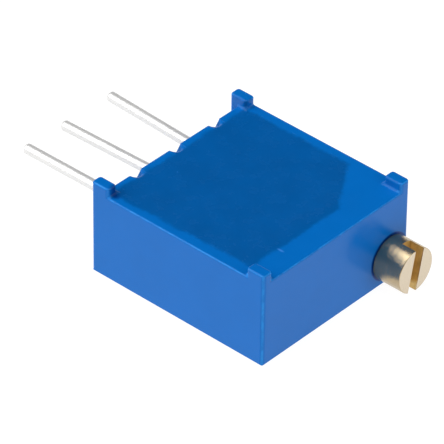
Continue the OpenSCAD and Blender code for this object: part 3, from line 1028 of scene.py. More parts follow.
@dataclass
class Case:
    """Moulded case and the potting in its basin, in millimetres."""

    length: float = 10.03
    width: float = 9.53
    grid: tuple[int, int, int] = (4, 3, 2)
    rim: float = 4.37
    post_rise: float = 0.46
    post_length: float = 1.0
    post_width: float = 0.58
    foot_rise: float = 0.5
    pin_wall: float = 0.45
    screw_wall: float = 1.5
    side_wall: float = 0.55
    thin_wall: float = 0.42
    web_length: float = 1.53
    web_width: float = 2.35
    potting_drop: float = 0.04
    wall_gap: float = 0.0005
    creep_reach: float = 0.8
    broad_wave: float = 0.004
    fine_wave: float = 0.002
    groove_height: float = 3.95
    plug_height: float = 4.0
    plug_inset: float = 0.06
    lip_gap: float = 0.003
    corner: float = 0.18
    rim_round: float = 0.09
    post_round: float = 0.11
    post_fillet: float = 0.15
    slot_round: float = 0.035
    foot_fillet: float = 0.05
    bottom_round: float = 0.04
    slot_width: float = 0.74
    slot_radius: float = 0.28
    slot_ease: float = 0.005
    slot_reach: float = 0.2
    slot_margin: float = 0.08
    slot_low: float = 1.5
    slot_steps: int = 24
    pin_height: float = 2.41
    pin_pitch: float = 2.54
    pin_reach: float = 6.05
    overshoot: float = 0.6
    outer_grow: float = 0.2
    wall_grow: float = 0.1
    foot_grow: float = 0.06
    cells: int = 36
    half_cells: int = 68
    lid_bottom: float = -1.0
    sharp_angle: float = 20.0
    segments: int = 4

    def __post_init__(self) -> None:
        """Work out the faces that several features share."""
        self.x0 = -self.length / 2
        self.x1 = self.length / 2
        self.y1 = self.width / 2
        self.wall_x = self.x0 + self.foot_rise
        self.top = self.rim + self.post_rise
        self.potting_z = self.rim - self.potting_drop
        self.basin = Basin(
            self.wall_x + self.pin_wall,
            self.x1 - self.screw_wall,
            -self.y1 + self.side_wall,
            self.y1 - self.thin_wall,
            self.web_length,
            self.web_width,
        )

    def filled(self, i: int, j: int, k: int) -> bool:
        """Say whether a cell of the block's grid is plastic.

        Args:
            i: The cell's number along X.
            j: Its number along Y.
            k: 0 for the body, 1 for the posts above it.

        Returns:
            True for plastic, False for air.
        """
        if not all(0 <= number < count for number, count in zip((i, j, k), self.grid)):
            return False
        strip = j != 1
        return (i >= 1 or strip) if k == 0 else (strip and i != 2)

    def block(self) -> bpy.types.Object:
        """Build the case's outer shape with sharp edges.

        Returns:
            The closed block with its feet and corner posts.
        """
        xs = [self.x0, self.wall_x, self.x0 + self.post_length, self.x1 - self.post_length, self.x1]
        ys = [-self.y1, self.post_width - self.y1, self.y1 - self.post_width, self.y1]
        zs = [0.0, self.rim, self.top]
        shape = bmesh.new()
        corners = {}

        def corner(i: int, j: int, k: int) -> bmesh.types.BMVert:
            """Return the vertex at a grid point, made once."""
            if (i, j, k) not in corners:
                corners[i, j, k] = shape.verts.new((xs[i], ys[j], zs[k]))
            return corners[i, j, k]

        around = [
            ((1, 0, 0), [(1, 0, 0), (1, 1, 0), (1, 1, 1), (1, 0, 1)]),
            ((-1, 0, 0), [(0, 0, 0), (0, 0, 1), (0, 1, 1), (0, 1, 0)]),
            ((0, 1, 0), [(0, 1, 0), (0, 1, 1), (1, 1, 1), (1, 1, 0)]),
            ((0, -1, 0), [(0, 0, 0), (1, 0, 0), (1, 0, 1), (0, 0, 1)]),
            ((0, 0, 1), [(0, 0, 1), (1, 0, 1), (1, 1, 1), (0, 1, 1)]),
            ((0, 0, -1), [(0, 0, 0), (0, 1, 0), (1, 1, 0), (1, 0, 0)]),
        ]
        for i, j, k in product(*map(range, self.grid)):
            if not self.filled(i, j, k):
                continue
            for (di, dj, dk), face in around:
                if not self.filled(i + di, j + dj, k + dk):
                    shape.faces.new([corner(i + a, j + b, k + c) for a, b, c in face])
        bmesh.ops.dissolve_limit(
            shape, angle_limit=math.radians(1.0), verts=shape.verts, edges=shape.edges
        )
        return Bench.from_bmesh("case_block", shape)

    def slot_cutter(self, y: float) -> bpy.types.Object:
        """Build the cutter of one pin slot, which narrows inwards and has a round bottom.

        Args:
            y: Where the pin stands along Y.

        Returns:
            The closed cutter.
        """
        ease, reach = self.slot_ease, self.slot_reach
        slope = (self.slot_width / 2 - self.slot_radius) / self.pin_wall
        out_x, in_x = self.wall_x - reach, self.wall_x + self.pin_wall + reach
        out_half = self.slot_width / 2 + slope * reach + ease
        in_half = self.slot_radius - slope * reach + ease
        narrowing = [
            (out_x, y - out_half), (in_x, y - in_half), (in_x, y + in_half), (out_x, y + out_half)
        ]
        mouth = Bench.extrude("slot_mouth", narrowing, self.pin_height, self.top + 1)
        radius = self.slot_radius + ease
        turns = [2 * math.pi * step / self.slot_steps for step in range(self.slot_steps)]
        ring = [
            (y + radius * math.cos(turn), self.pin_height + radius * math.sin(turn))
            for turn in turns
        ]
        bottom = Bench.extrude("slot_bottom", ring, out_x, in_x, axis="X")
        return Bench.combine(mouth, bottom, Cut.JOIN)

    def in_slot(self, place: Vector) -> bool:
        """Say whether a place on the block belongs to one of the pin slots.

        Args:
            place: The place, such as the middle of an edge.

        Returns:
            True in a slot or beside it.
        """
        end = self.wall_x + self.pin_wall + self.slot_reach
        aside = min(abs(place.y - y) for y in self.pin_places())
        return (
            self.wall_x - 0.01 < place.x < end + 0.01
            and place.z > self.slot_low
            and aside < self.slot_width / 2 + self.slot_margin
        )

    def edge_round(self, a: Vector, b: Vector, convex: bool) -> float:
        """Choose the rounding of one edge of the block.

        Args:
            a: One end of the edge.
            b: The other end.
            convex: Whether the edge stands out of the solid.

        Returns:
            The radius, or 0 for an edge that stays sharp.
        """
        middle = (a + b) / 2
        upright = abs(a.x - b.x) < MERGE and abs(a.y - b.y) < MERGE
        if self.in_slot(middle):
            on_face = all(abs(end.x - self.wall_x) < MERGE for end in (a, b))
            on_rim = all(abs(end.z - self.rim) < MERGE for end in (a, b))
            return self.slot_round if convex and (on_face or on_rim) else 0.0
        if not convex:
            if abs(middle.z - self.rim) < MERGE and not upright:
                return self.post_fillet
            return self.foot_fillet if abs(middle.x - self.wall_x) < MERGE else 0.0
        if upright:
            return self.corner
        if middle.z < MERGE:
            return self.bottom_round
        if abs(middle.z - self.top) < MERGE:
            return self.post_round
        return self.rim_round

    def pin_places(self) -> list[float]:
        """Return where the three pins stand along Y."""
        return [self.pin_pitch, 0.0, -self.pin_pitch]

    def rounded(self, block: bpy.types.Object) -> bpy.types.Object:
        """Round the block's edges, each by its own radius.

        Args:
            block: The sharp block with its slots cut.

        Returns:
            The same object, rounded.
        """
        Bench.flatten_faces(block)
        largest, sharp = max(self.corner, self.post_fillet), math.radians(self.sharp_angle)
        with Bench.editing(block) as shape:
            weights = shape.edges.layers.float.new("bevel_weight_edge")
            for edge in shape.edges:
                if len(edge.link_faces) != 2 or edge.calc_face_angle(0.0) < sharp:
                    continue
                radius = self.edge_round(edge.verts[0].co, edge.verts[1].co, edge.is_convex)
                edge[weights] = radius / largest
        step = block.modifiers.new("rounding", "BEVEL")
        step.limit_method = "WEIGHT"
        step.offset_type = "OFFSET"
        step.width = largest
        step.segments = self.segments
        step.profile = 0.5
        step.use_clamp_overlap = True
        step.miter_outer = "MITER_SHARP"
        return Bench.apply(block)

    def inside(self) -> bpy.types.Object:
        """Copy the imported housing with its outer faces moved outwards.

        Only the basin, bores, chamber and pockets of the copy then matter.

        Returns:
            The closed copy.
        """
        copy = Bench.cad_copy("housing")
        points = np.empty(len(copy.data.vertices) * 3)
        copy.data.vertices.foreach_get("co", points)
        points = points.reshape(-1, 3)
        x, y, z = points.T.copy()
        reach = self.corner + 0.01
        inner = self.y1 - self.post_width
        points[x < self.wall_x - 0.1, 0] -= self.outer_grow
        points[np.abs(x - self.wall_x) < NEAR, 0] -= self.wall_grow
        points[x > self.x1 - reach, 0] += self.outer_grow
        out = np.abs(y) > self.y1 - reach
        points[out, 1] += self.outer_grow * np.sign(y[out])
        foot = (x < self.wall_x + NEAR) & (np.abs(np.abs(y) - inner) < reach)
        points[foot, 1] -= self.foot_grow * np.sign(y[foot])
        points[z < NEAR, 2] -= self.outer_grow
        points[z > self.rim - NEAR, 2] += self.overshoot
        copy.data.vertices.foreach_set("co", points.ravel())
        copy.data.update()
        wide = self.length
        above = Bench.extrude(
            "above_rim",
            rectangle((-wide, -wide), (wide, wide)),
            self.rim + self.lip_gap,
            self.top + 1,
        )
        return Bench.combine(copy, above, Cut.JOIN)

    def build_housing(self, material: bpy.types.Material) -> bpy.types.Object:
        """Build the moulded case.

        Args:
            material: Its finish.

        Returns:
            The finished piece.
        """
        block = self.block()
        for y in self.pin_places():
            Bench.combine(block, self.slot_cutter(y), Cut.REMOVE)
        self.rounded(block)
        Bench.combine(block, self.inside(), Cut.KEEP_COMMON)
        Bench.flatten_faces(block, 0.2)
        Bench.smooth(block)
        return Bench.deliver(block, "moulded_case", "case", "case_plastic", material, ["housing"])

    def potting_height(self, x: float, y: float) -> float:
        """Return the height of the potting's surface at a place.

        Args:
            x: Along X.
            y: Along Y.

        Returns:
            The height: low in the middle, flush with the rim at the walls, and with a groove
            that runs down through each pin slot.
        """
        brim = self.rim - self.wall_gap
        way_in = max(0.0, self.basin.inset(x, y))
        dip = 1 - math.exp(-((way_in / self.creep_reach) ** 2))
        wave = self.broad_wave * math.sin(0.9 * x + 0.4) * math.cos(0.8 * y - 0.3)
        wave += self.fine_wave * math.sin(2.3 * x - 1.1 * y)
        out = self.basin.low_x - x
        run = min(1.0, max(0.0, out / (self.pin_wall - self.plug_inset)))
        half = self.slot_radius + (self.slot_width / 2 - self.slot_radius) * out / self.pin_wall
        aside = min(abs(y - place) for place in self.pin_places()) / half
        groove = (brim - self.groove_height) * run**1.2 * max(0.0, 1.0 - aside)
        return brim - (self.potting_drop - wave) * dip - groove

    def potting_lid(self) -> bpy.types.Object:
        """Build a slab whose top is the potting's surface.

        Returns:
            The closed slab.
        """
        step = self.pin_pitch / self.cells
        xs = np.arange(self.x0, self.x1 + step, step)
        ys = np.arange(-self.half_cells, self.half_cells + 1) * step
        shape = bmesh.new()
        rows = [[shape.verts.new((x, y, self.potting_height(x, y))) for y in ys] for x in xs]
        for near, far in zip(rows, rows[1:]):
            for j in range(len(ys) - 1):
                shape.faces.new([near[j], far[j], far[j + 1], near[j + 1]])
        rim = (
            [row[0] for row in rows]
            + rows[-1][1:]
            + [row[-1] for row in rows[-2::-1]]
            + rows[0][-2:0:-1]
        )
        low = [shape.verts.new((v.co.x, v.co.y, self.lid_bottom)) for v in rim]
        for i in range(len(rim)):
            n = (i + 1) % len(rim)
            shape.faces.new([rim[n], rim[i], low[i], low[n]])
        shape.faces.new(low)
        bmesh.ops.recalc_face_normals(shape, faces=shape.faces)
        return Bench.from_bmesh("potting_lid", shape)

    def build_potting(self, material: bpy.types.Material) -> bpy.types.Object:
        """Build the cast potting.

        Args:
            material: Its finish.

        Returns:
            The finished piece.
        """
        copy = Bench.cad_copy("potting_resin")
        for vertex in copy.data.vertices:
            if min(abs(vertex.co.z - z) for z in (self.potting_z, self.plug_height)) < NEAR:
                vertex.co.z += self.overshoot
        Bench.combine(copy, self.potting_lid(), Cut.KEEP_COMMON)
        Bench.smooth(copy)
        return Bench.deliver(
            copy, "cast_potting", "case", "potting_epoxy", material, ["potting_resin"]
        )


# ------------------------------------------------------------------- the screw


@dataclass
class Screw:
    """Turned adjusting screw with its worm thread, in millimetres."""

    axis_y: float
    face_x: float
    cavity_x: float
    wheel_x: float
    axis_z: float = 1.3
    head_radius: float = 1.11
    head_length: float = 1.54
    head_gap: float = 0.03
    head_chamfer: float = 0.045
    slot_width: float = 0.56
    slot_depth: float = 0.76
    slot_turn: float = 12.0
    shank_radius: float = 0.78
    shaft_radius: float = 0.39
    collar_radius: float = 0.755
    collar_length: float = 0.76
    clip_inset: float = 0.515
    clip_thickness: float = 0.24
    clip_ease: float = 0.04
    seal_depth: float = 0.965
    seal_width: float = 0.5
    seal_radius: float = 0.5
    wheel_pitch_radius: float = 2.895
    wheel_teeth: int = 30
    worm_turns: int = 7
    worm_radius: float = 0.6
    worm_rise: float = 0.155
    worm_root: float = 0.41
    mesh_play: float = 0.06
    pressure_angle: float = 20.0
    thread_sunk: float = 0.06
    thread_short: float = 0.9
    thread_run_out: float = 0.06
    thread_steps: int = 40
    journal_length: float = 1.0
    journal_round: float = 0.05
    step_round: float = 0.03
    sides: int = 96
    round_steps: int = 4
    smooth_angle: float = 28.0

    def __post_init__(self) -> None:
        """Work out the places along the screw."""
        self.pitch = 2 * math.pi * self.wheel_pitch_radius / self.wheel_teeth
        half = self.worm_turns * self.pitch / 2
        self.worm_start = self.wheel_x - half
        self.worm_end = self.wheel_x + half
        clip_x = self.cavity_x - self.clip_inset
        self.groove_start = clip_x - self.clip_ease
        self.groove_end = clip_x + self.clip_thickness + self.clip_ease
        self.head_start = self.face_x + self.head_gap
        self.head_end = self.face_x + self.head_length

    def rounded_step(self, x: float, radius: float, drop: float, side: Side) -> list[Pair]:
        """Return the profile points of a rounded outer edge.

        Args:
            x: Where the end face is.
            radius: Radius of the cylinder.
            drop: Size of the rounding.
            side: LOW for an edge at the cylinder's start, HIGH for its end.

        Returns:
            Pairs of place and radius, in order along X.
        """
        turns = [math.pi / 2 * s / self.round_steps for s in range(self.round_steps + 1)]
        rise = [
            (x - side.value * drop * (1 - math.sin(turn)), radius - drop * (1 - math.cos(turn)))
            for turn in turns
        ]
        return rise if side is Side.HIGH else rise[::-1]

    def profile(self) -> list[Pair]:
        """Trace the screw's turned outline.

        Returns:
            Place and radius of each point, from the end journal to the head.
        """
        shaft, shank, head = self.shaft_radius, self.shank_radius, self.head_radius
        collar_x = self.groove_start - self.collar_length
        seal_x = self.face_x - self.seal_depth
        start_x = self.worm_start - self.journal_length
        small = self.step_round
        return [
            (start_x, 0.0),
            *self.rounded_step(start_x, shaft, self.journal_round, Side.LOW),
            (self.worm_start, shaft),
            (self.worm_start, self.worm_root),
            (self.worm_end, self.worm_root),
            (self.worm_end, shaft),
            (collar_x, shaft),
            *self.rounded_step(collar_x, self.collar_radius, small, Side.LOW),
            *self.rounded_step(self.groove_start, self.collar_radius, small, Side.HIGH),
            (self.groove_start, shaft),
            (self.groove_end, shaft),
            *self.rounded_step(self.groove_end, shank, small, Side.LOW),
            (seal_x, shank),
            (seal_x, self.seal_radius),
            (seal_x + self.seal_width, self.seal_radius),
            (seal_x + self.seal_width, shank),
            (self.head_start, shank),
            *self.rounded_step(self.head_start, head, small, Side.LOW),
            *self.rounded_step(self.head_end, head, self.head_chamfer, Side.HIGH),
            (self.head_end, 0.0),
        ]

    def turned(self) -> bpy.types.Object:
        """Spin the profile around the screw's axis.

        Returns:
            The closed body without thread and driver slot.
        """
        shape = bmesh.new()
        turns = [2 * math.pi * s / self.sides for s in range(self.sides)]
        rings = []
        for x, radius in self.profile():
            around = turns if radius > 0 else [0.0]
            rings.append([
                shape.verts.new((
                    x, self.axis_y + radius * math.cos(t), self.axis_z + radius * math.sin(t)
                ))
                for t in around
            ])
        for a, b in zip(rings, rings[1:]):
            for s in range(self.sides):
                n = (s + 1) % self.sides
                if len(a) == 1:
                    shape.faces.new([a[0], b[s], b[n]])
                elif len(b) == 1:
                    shape.faces.new([a[s], a[n], b[0]])
                else:
                    shape.faces.new([a[s], a[n], b[n], b[s]])
        bmesh.ops.remove_doubles(shape, verts=shape.verts, dist=MERGE)
        bmesh.ops.recalc_face_normals(shape, faces=shape.faces)
        return Bench.from_bmesh("screw_body", shape)

    def thread(self, material: bpy.types.Material) -> bpy.types.Object:
        """Sweep the worm's thread along its helix with Geometry Nodes.

        Args:
            material: Finish set on the thread.

        Returns:
            The closed thread, around the screw's root.
        """
        tooth = math.pi * self.wheel_pitch_radius / self.wheel_teeth - self.mesh_play
        slope = math.tan(math.radians(self.pressure_angle))
        sunk_radius = self.worm_root - self.thread_sunk
        tree = PathTree("worm_thread", {
            "Turns": self.worm_turns - self.thread_short,
            "Pitch": self.pitch,
            "Foot radius": sunk_radius,
            "Crest radius": self.worm_radius + self.worm_rise,
            "Foot half width": tooth / 2 + (self.worm_radius - sunk_radius) * slope,
            "Crest half width": tooth / 2 - self.worm_rise * slope,
            "Run out": self.thread_run_out,
        })
        foot, crest = tree.size("Foot radius"), tree.size("Crest radius")
        foot_half, crest_half = tree.size("Foot half width"), tree.size("Crest half width")
        count, rows = self.worm_turns * self.thread_steps, 5
        grid = tree.node("GeometryNodeMeshGrid", {
            "Size X": 1.0, "Size Y": 1.0, "Vertices X": count, "Vertices Y": rows,
        }).outputs[0]
        index = tree.node("GeometryNodeInputIndex").outputs[0]
        row = tree.math("MODULO", index, float(rows))
        step = tree.math("DIVIDE", tree.math("ADD", index, 0.5), float(rows))
        step = tree.math("FLOOR", step)
        run = tree.math("SUBTRACT", tree.math("DIVIDE", step, count - 1.0), 0.5)
        turned = tree.math("MULTIPLY", run, tree.size("Turns"))
        angle = tree.math("MULTIPLY", turned, 2 * math.pi)
        along = tree.math("MULTIPLY", turned, tree.size("Pitch"))
        to_end = tree.math("SUBTRACT", 0.5, tree.math("ABSOLUTE", run))
        fade = tree.ramp(to_end, 0.0, tree.size("Run out"))
        drop = tree.math("SUBTRACT", crest, self.worm_root)
        lift = tree.math("MULTIPLY", tree.math("SUBTRACT", fade, 1.0), drop)
        crest = tree.math("ADD", crest, lift)
        foot_back = tree.math("MULTIPLY", foot_half, -1.0)
        crest_back = tree.math("MULTIPLY", crest_half, -1.0)
        radius, width = foot, foot_back
        corners = [(crest, crest_back), (crest, crest_half), (foot, foot_half), (foot, foot_back)]
        for number, (next_radius, next_width) in enumerate(corners):
            passed = tree.node(
                "FunctionNodeCompare", {0: row, 1: number + 0.5},
                data_type="FLOAT", operation="GREATER_THAN",
            ).outputs[0]
            radius = tree.pick(passed, radius, next_radius)
            width = tree.pick(passed, width, next_width)
        where = tree.vector(
            tree.math("ADD", along, width),
            tree.math("MULTIPLY", radius, tree.math("COSINE", angle)),
            tree.math("MULTIPLY", radius, tree.math("SINE", angle)),
        )
        placed = tree.node("GeometryNodeSetPosition", {"Geometry": grid, "Position": where})
        piece = tree.run(placed.outputs[0], "worm_thread", material)
        with Bench.editing(piece) as shape:
            bmesh.ops.remove_doubles(shape, verts=shape.verts, dist=MERGE)
            ends = [edge for edge in shape.edges if edge.is_boundary]
            bmesh.ops.holes_fill(shape, edges=ends, sides=8)
            bmesh.ops.recalc_face_normals(shape, faces=shape.faces)
            middle = (self.wheel_x, self.axis_y, self.axis_z)
            bmesh.ops.translate(shape, verts=shape.verts, vec=middle)
        return piece

    def driver_slot(self) -> bpy.types.Object:
        """Build the cutter of the driver slot, across the head.

        Returns:
            The closed cutter.
        """
        half, reach = self.slot_width / 2, self.head_radius + 1
        cutter = Bench.extrude(
            "driver_slot",
            rectangle((-half, -reach), (half, reach)),
            self.head_end - self.slot_depth,
            self.head_end + 1,
            axis="X",
        )
        turn = Matrix.Rotation(math.radians(-self.slot_turn), 4, "X")
        cutter.data.transform(Matrix.Translation((0, self.axis_y, self.axis_z)) @ turn)
        return cutter

    def build(self, material: bpy.types.Material) -> bpy.types.Object:
        """Build the whole screw.

        Args:
            material: Its finish.

        Returns:
            The finished piece.
        """
        body = self.turned()
        Bench.combine(body, self.driver_slot(), Cut.REMOVE)
        Bench.combine(body, self.thread(material), Cut.JOIN)
        Bench.smooth(body, self.smooth_angle)
        return Bench.deliver(
            body, "brass_adjuster", "screw", "turned_brass", material, ["adjusting_screw"]
        )


# -------------------------------------------------------------------- the pins


@dataclass
class Pin:
    """One wire terminal with its square neck and soldered fork, in millimetres."""

    number: int
    foot: Vector
    tip: Vector
    radius: float = 0.255
    tip_round: float = 0.14
    neck_width: float = 0.3366
    neck_in: float = 0.1
    fork_start: float = -4.06
    fork_end: float = -3.975
    tine_end: float = -3.465
    tine_thickness: float = 0.12
    tine_width: float = 0.44
    tine_low: float = 2.0
    tine_high: float = 2.79
    fork_round: float = 0.03
    sides: int = 40
    straight_steps: int = 6
    tip_steps: int = 8
    smooth_angle: float = 35.0

    def wire(self, material: bpy.types.Material) -> bpy.types.Object:
        """Sweep the round wire from the wall to its rounded tip with Geometry Nodes.

        Args:
            material: Finish set on the wire.

        Returns:
            The closed wire.
        """
        run = self.tip - self.foot
        tree = PathTree(f"terminal_wire_{self.number}", {
            "Radius": self.radius,
            "Tip rounding": self.tip_round,
            "Length": run.length,
        })
        first = float(self.straight_steps)
        line = tree.node("GeometryNodeCurvePrimitiveLine", {
            "Start": tuple(self.foot), "End": tuple(self.tip),
        }).outputs[0]
        line = tree.node("GeometryNodeResampleCurve", {
            "Curve": line, "Count": self.straight_steps + self.tip_steps + 1,
        }).outputs[0]
        index = tree.node("GeometryNodeInputIndex").outputs[0]
        turn = tree.math("DIVIDE", tree.math("SUBTRACT", index, first), float(self.tip_steps))
        turn = tree.math("MULTIPLY", tree.math("MAXIMUM", turn, 0.0), math.pi / 2)
        rounding = tree.size("Tip rounding")
        flat = tree.math("SUBTRACT", tree.size("Length"), rounding)
        before = tree.math("DIVIDE", tree.math("MINIMUM", index, first), first)
        along = tree.math("MULTIPLY", before, flat)
        along = tree.math("ADD", along, tree.math("MULTIPLY", tree.math("SINE", turn), rounding))
        share = tree.math("DIVIDE", along, tree.size("Length"))
        spot = tree.node(
            "ShaderNodeVectorMath", {0: tuple(run), "Scale": share}, operation="SCALE"
        ).outputs[0]
        spot = tree.node(
            "ShaderNodeVectorMath", {0: spot, 1: tuple(self.foot)}, operation="ADD"
        ).outputs[0]
        line = tree.node("GeometryNodeSetPosition", {"Geometry": line, "Position": spot}).outputs[0]
        inward = tree.math("SUBTRACT", 1.0, tree.math("COSINE", turn))
        drop = tree.math("MULTIPLY", inward, rounding)
        thick = tree.math("SUBTRACT", tree.size("Radius"), drop)
        ring = tree.node("GeometryNodeCurvePrimitiveCircle", {
            "Resolution": self.sides, "Radius": 1.0,
        }).outputs[0]
        tube = tree.node("GeometryNodeCurveToMesh", {
            "Curve": line, "Profile Curve": ring, "Scale": thick, "Fill Caps": True,
        }).outputs[0]
        return tree.run(tube, f"terminal_wire_{self.number}", material)

    def fork(self) -> bpy.types.Object:
        """Build the flat fork that grips the ceramic plate's edge, with softened edges.

        Returns:
            The closed fork.
        """
        y, half = self.foot.y, self.tine_width / 2
        low, high = self.tine_low + self.tine_thickness, self.tine_high - self.tine_thickness
        outline = [
            (self.fork_start, self.tine_low),
            (self.tine_end, self.tine_low),
            (self.tine_end, low),
            (self.fork_end, low),
            (self.fork_end, high),
            (self.tine_end, high),
            (self.tine_end, self.tine_high),
            (self.fork_start, self.tine_high),
        ]
        fork = Bench.extrude("fork", outline, y - half, y + half)
        fork.data.transform(Matrix(((1, 0, 0, 0), (0, 0, 1, 0), (0, 1, 0, 0), (0, 0, 0, 1))))
        with Bench.editing(fork) as shape:
            bmesh.ops.recalc_face_normals(shape, faces=shape.faces)
        step = fork.modifiers.new("soft_edges", "BEVEL")
        step.width = self.fork_round
        step.segments = 2
        return Bench.apply(fork)

    def build(self, material: bpy.types.Material) -> bpy.types.Object:
        """Build the whole terminal.

        Args:
            material: Its finish.

        Returns:
            The finished piece.
        """
        half, (x, y, z) = self.neck_width / 2, self.foot
        neck = Bench.extrude(
            "neck",
            rectangle((x - self.neck_in, y - half), (self.fork_end - 0.01, y + half)),
            z - half,
            z + half,
        )
        pin = Bench.combine(self.wire(material), neck, Cut.JOIN)
        Bench.combine(pin, self.fork(), Cut.JOIN)
        Bench.smooth(pin, self.smooth_angle)
        return Bench.deliver(
            pin, f"wire_terminal_{self.number}", "case", "tinned_wire", material,
            [f"terminal_pin_{self.number}"],
        )


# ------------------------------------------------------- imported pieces, studio


@dataclass
class InnerWorks:
    """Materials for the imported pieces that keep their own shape."""

    def finishes(self) -> dict[str, bpy.types.Material]:
        """Build one material for each slot that the inner pieces use.

        Returns:
            Each slot's material.
        """
        return {
            "seal_rubber": Matter(
                "silicone_seal", (0.045, 0.045, 0.048), (0.06, 0.06, 0.062), 0.42, 3.0, 0.001
            ).build(),
            "clip_steel": Metal(
                "stamped_clip", (0.62, 0.62, 0.60), 0.85, 0.22, (0.6, 9.0, 9.0), 0.001
            ).build(),
            "drive_polymer": Matter(
                "natural_polymer", (0.78, 0.76, 0.66), (0.74, 0.71, 0.60), 0.40, 1.5, 0.001
            ).build(),
            "spring_alloy": Metal(
                "rolled_spring_strip", (0.80, 0.66, 0.40), 0.88, 0.2, (0.8, 12.0, 3.0), 0.0006
            ).build(),
            "ceramic": Matter(
                "fired_alumina", (0.84, 0.83, 0.79), (0.79, 0.78, 0.74), 0.5, 4.0, 0.0015
            ).build(),
            "resistor_film": Matter(
                "cermet_ink", (0.018, 0.018, 0.020), (0.03, 0.03, 0.032), 0.38, 6.0, 0.001
            ).build(),
            "conductor_film": Metal(
                "silver_ink", (0.72, 0.71, 0.68), 0.9, 0.38, (5.0, 5.0, 5.0), 0.001
            ).build(),
            "solder": Metal(
                "solder_fillet", (0.70, 0.70, 0.69), 0.92, 0.2, (4.0, 4.0, 4.0), 0.001
            ).build(),
        }

    def dress(self, skip: set[str]) -> None:
        """Give every kept node its slot's material.

        Args:
            skip: Nodes that another piece stands for.
        """
        finishes = self.finishes()
        slots = {s["node"]: s["material_slot"] for s in frame["record"]["subparts"]}
        for name, node in frame["nodes"].items():
            if name in skip:
                continue
            node.data.materials.clear()
            node.data.materials.append(finishes[slots[name]])
            LOG.info("%s: %s", name, slots[name])


@dataclass
class Softbox:
    """A square white studio light that faces the part, in metres."""

    name: str
    direction: Point
    distance: float
    size: float
    radiance: float

    def build(self) -> bpy.types.Object:
        """Build the light.

        Returns:
            The light object.
        """
        light = bpy.data.lights.new(self.name, "AREA")
        light.shape = "SQUARE"
        light.size = self.size
        light.energy = self.radiance * math.pi * self.size**2
        lamp = bpy.data.objects.new(self.name, light)
        way = Vector(self.direction).normalized()
        turn = way.to_track_quat("Z", "Y").to_matrix().to_4x4()
        lamp.matrix_world = Matrix.Translation(way * self.distance) @ turn
        bpy.context.scene.collection.objects.link(lamp)
        return lamp


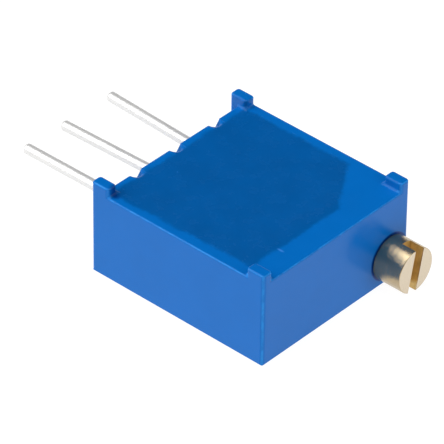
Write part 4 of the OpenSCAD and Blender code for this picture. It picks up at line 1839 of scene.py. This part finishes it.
@dataclass
class Studio:
    """Floor, lights, world and camera, in metres unless said otherwise."""

    azimuth: float = 41.741
    elevation: float = 37.193
    roll: float = 0.753
    distance: float = 0.221451
    shift_mm: Pair = (-1.197, 2.022)
    lens: float = 408.6
    sensor: float = 36.0
    clip: Pair = (0.01, 200.0)
    floor_half: float = 30.0
    floor_glow: float = 0.95
    floor_colour: float = 0.16
    world_light: float = 0.02
    haze_light: float = 0.6
    haze_low: float = 8.0
    haze_high: float = 24.0
    boxes: list[Softbox] = field(default_factory=lambda: [
        Softbox("front_left_softbox", (-0.53, -0.604, 0.594), 0.55, 0.46, 3.05),
        Softbox("right_softbox", (0.87, 0.12, 0.48), 0.55, 0.50, 1.55),
        Softbox("overhead_softbox", (-0.2, -0.15, 0.97), 0.6, 0.35, 5.0),
    ])

    def camera(self) -> bpy.types.Object:
        """Build the camera and make it the scene's.

        Returns:
            The camera.
        """
        turn, rise, roll = (math.radians(v) for v in (self.azimuth, self.elevation, self.roll))
        level = math.cos(rise)
        back = Vector((math.sin(turn) * level, -math.cos(turn) * level, math.sin(rise)))
        right = Vector((math.cos(turn), math.sin(turn), 0.0))
        up = back.cross(right)
        right, up = (
            right * math.cos(roll) + up * math.sin(roll),
            up * math.cos(roll) - right * math.sin(roll),
        )
        spot = right * self.shift_mm[0] * MM + up * self.shift_mm[1] * MM + back * self.distance
        data = bpy.data.cameras.new("studio_camera")
        data.lens = self.lens
        data.sensor_width = self.sensor
        data.clip_start, data.clip_end = self.clip
        camera = bpy.data.objects.new("studio_camera", data)
        camera.matrix_world = Matrix((
            (right.x, up.x, back.x, spot.x),
            (right.y, up.y, back.y, spot.y),
            (right.z, up.z, back.z, spot.z),
            (0.0, 0.0, 0.0, 1.0),
        ))
        bpy.context.scene.collection.objects.link(camera)
        bpy.context.scene.camera = camera
        return camera

    def floor(self) -> bpy.types.Object:
        """Build the pale floor.

        Returns:
            The floor.
        """
        half, grey = self.floor_half, self.floor_colour
        mesh = bpy.data.meshes.new("studio_floor")
        corners = [(x, y, 0.0) for x, y in rectangle((-half, -half), (half, half))]
        mesh.from_pydata(corners, [], [(0, 1, 2, 3)])
        floor = Bench.place("studio_floor", mesh)
        paint = Paint("pale_floor")
        paint.feed("Base Color", (grey, grey, grey))
        paint.feed("Roughness", 0.9)
        paint.feed("Specular IOR Level", 0.0)
        paint.feed("Emission Color", (1.0, 1.0, 1.0))
        paint.feed("Emission Strength", self.floor_glow)
        mesh.materials.append(paint.done())
        return floor

    def world(self) -> None:
        """Set a dim world that looks pale only straight from the camera."""
        world = bpy.data.worlds.new("studio_world")
        bpy.context.scene.world = world
        world.use_nodes = True
        work = NodeWork(world.node_tree)
        height = work.split(work.node("ShaderNodeTexCoord").outputs["Generated"])[2]
        low, high = (math.sin(math.radians(v)) for v in (self.haze_low, self.haze_high))
        sky = work.ramp(height, low, high, self.haze_light, self.world_light)
        seen = work.node("ShaderNodeLightPath").outputs["Is Camera Ray"]
        light = work.node("ShaderNodeMapRange", {"Value": seen, "To Min": sky, "To Max": 1.0})
        shader = work.nodes["Background"]
        work.links.new(light.outputs[0], shader.inputs["Strength"])
        shader.inputs["Color"].default_value = (1.0, 1.0, 1.0, 1.0)

    def build(self) -> None:
        """Build the whole studio."""
        self.camera()
        self.floor()
        self.world()
        for box in self.boxes:
            box.build()
        bpy.context.scene.view_settings.view_transform = "Standard"
        bpy.context.scene.view_settings.look = "None"


# ------------------------------------------------------------------------ main


def mount(name: str) -> dict:
    """Return one of the record's mounts by its name."""
    return next(m for m in frame["record"]["mounts"] if m["name"] == name)


def wire_ends(number: int, wall_x: float, length: float) -> tuple[Vector, Vector]:
    """Find where a terminal's wire starts and ends, in millimetres.

    Args:
        number: Which terminal.
        wall_x: The wall face that it leaves.
        length: How far it reaches beyond the wall.

    Returns:
        The wire's start at the wall and its tip.
    """
    pin = mount(f"pin_{number}")
    middle, way = Vector(pin["pos_m"]) / MM, Vector(pin["axis"]).normalized()
    foot = middle + way * ((wall_x - middle.x) / way.x)
    return foot, foot + way * length


def main() -> None:
    """Build every piece in order and report it."""
    logging.basicConfig(level=logging.INFO, format="%(message)s", stream=sys.stdout)
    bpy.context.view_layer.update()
    Studio().build()
    case = Case()
    adjuster = mount("driver_slot")["pos_m"]
    screw = Screw(
        axis_y=adjuster[1] / MM,
        face_x=case.x1,
        cavity_x=case.basin.high_x,
        wheel_x=(case.basin.low_x + case.basin.high_x) / 2,
    )
    bore = (screw.axis_y, screw.axis_z, screw.head_radius)
    finish = CaseFinish(case.basin, case.x1, case.y1, case.rim, bore)
    case.build_housing(finish.moulded())
    case.build_potting(finish.cast())
    screw.build(BrassFinish(screw).build())
    tin = Metal(
        "tinned_wire", (0.80, 0.795, 0.785), 0.96, 0.26, (0.5, 9.0, 9.0), 0.0008, 0.4
    ).build()
    for number in (1, 2, 3):
        foot, tip = wire_ends(number, case.wall_x, case.foot_rise + case.pin_reach)
        Pin(number, foot, tip).build(tin)
    replaced = {"housing", "potting_resin", "adjusting_screw"}
    replaced |= {f"terminal_pin_{n}" for n in (1, 2, 3)}
    InnerWorks().dress(replaced)


if __name__ == "__main__":
    main()
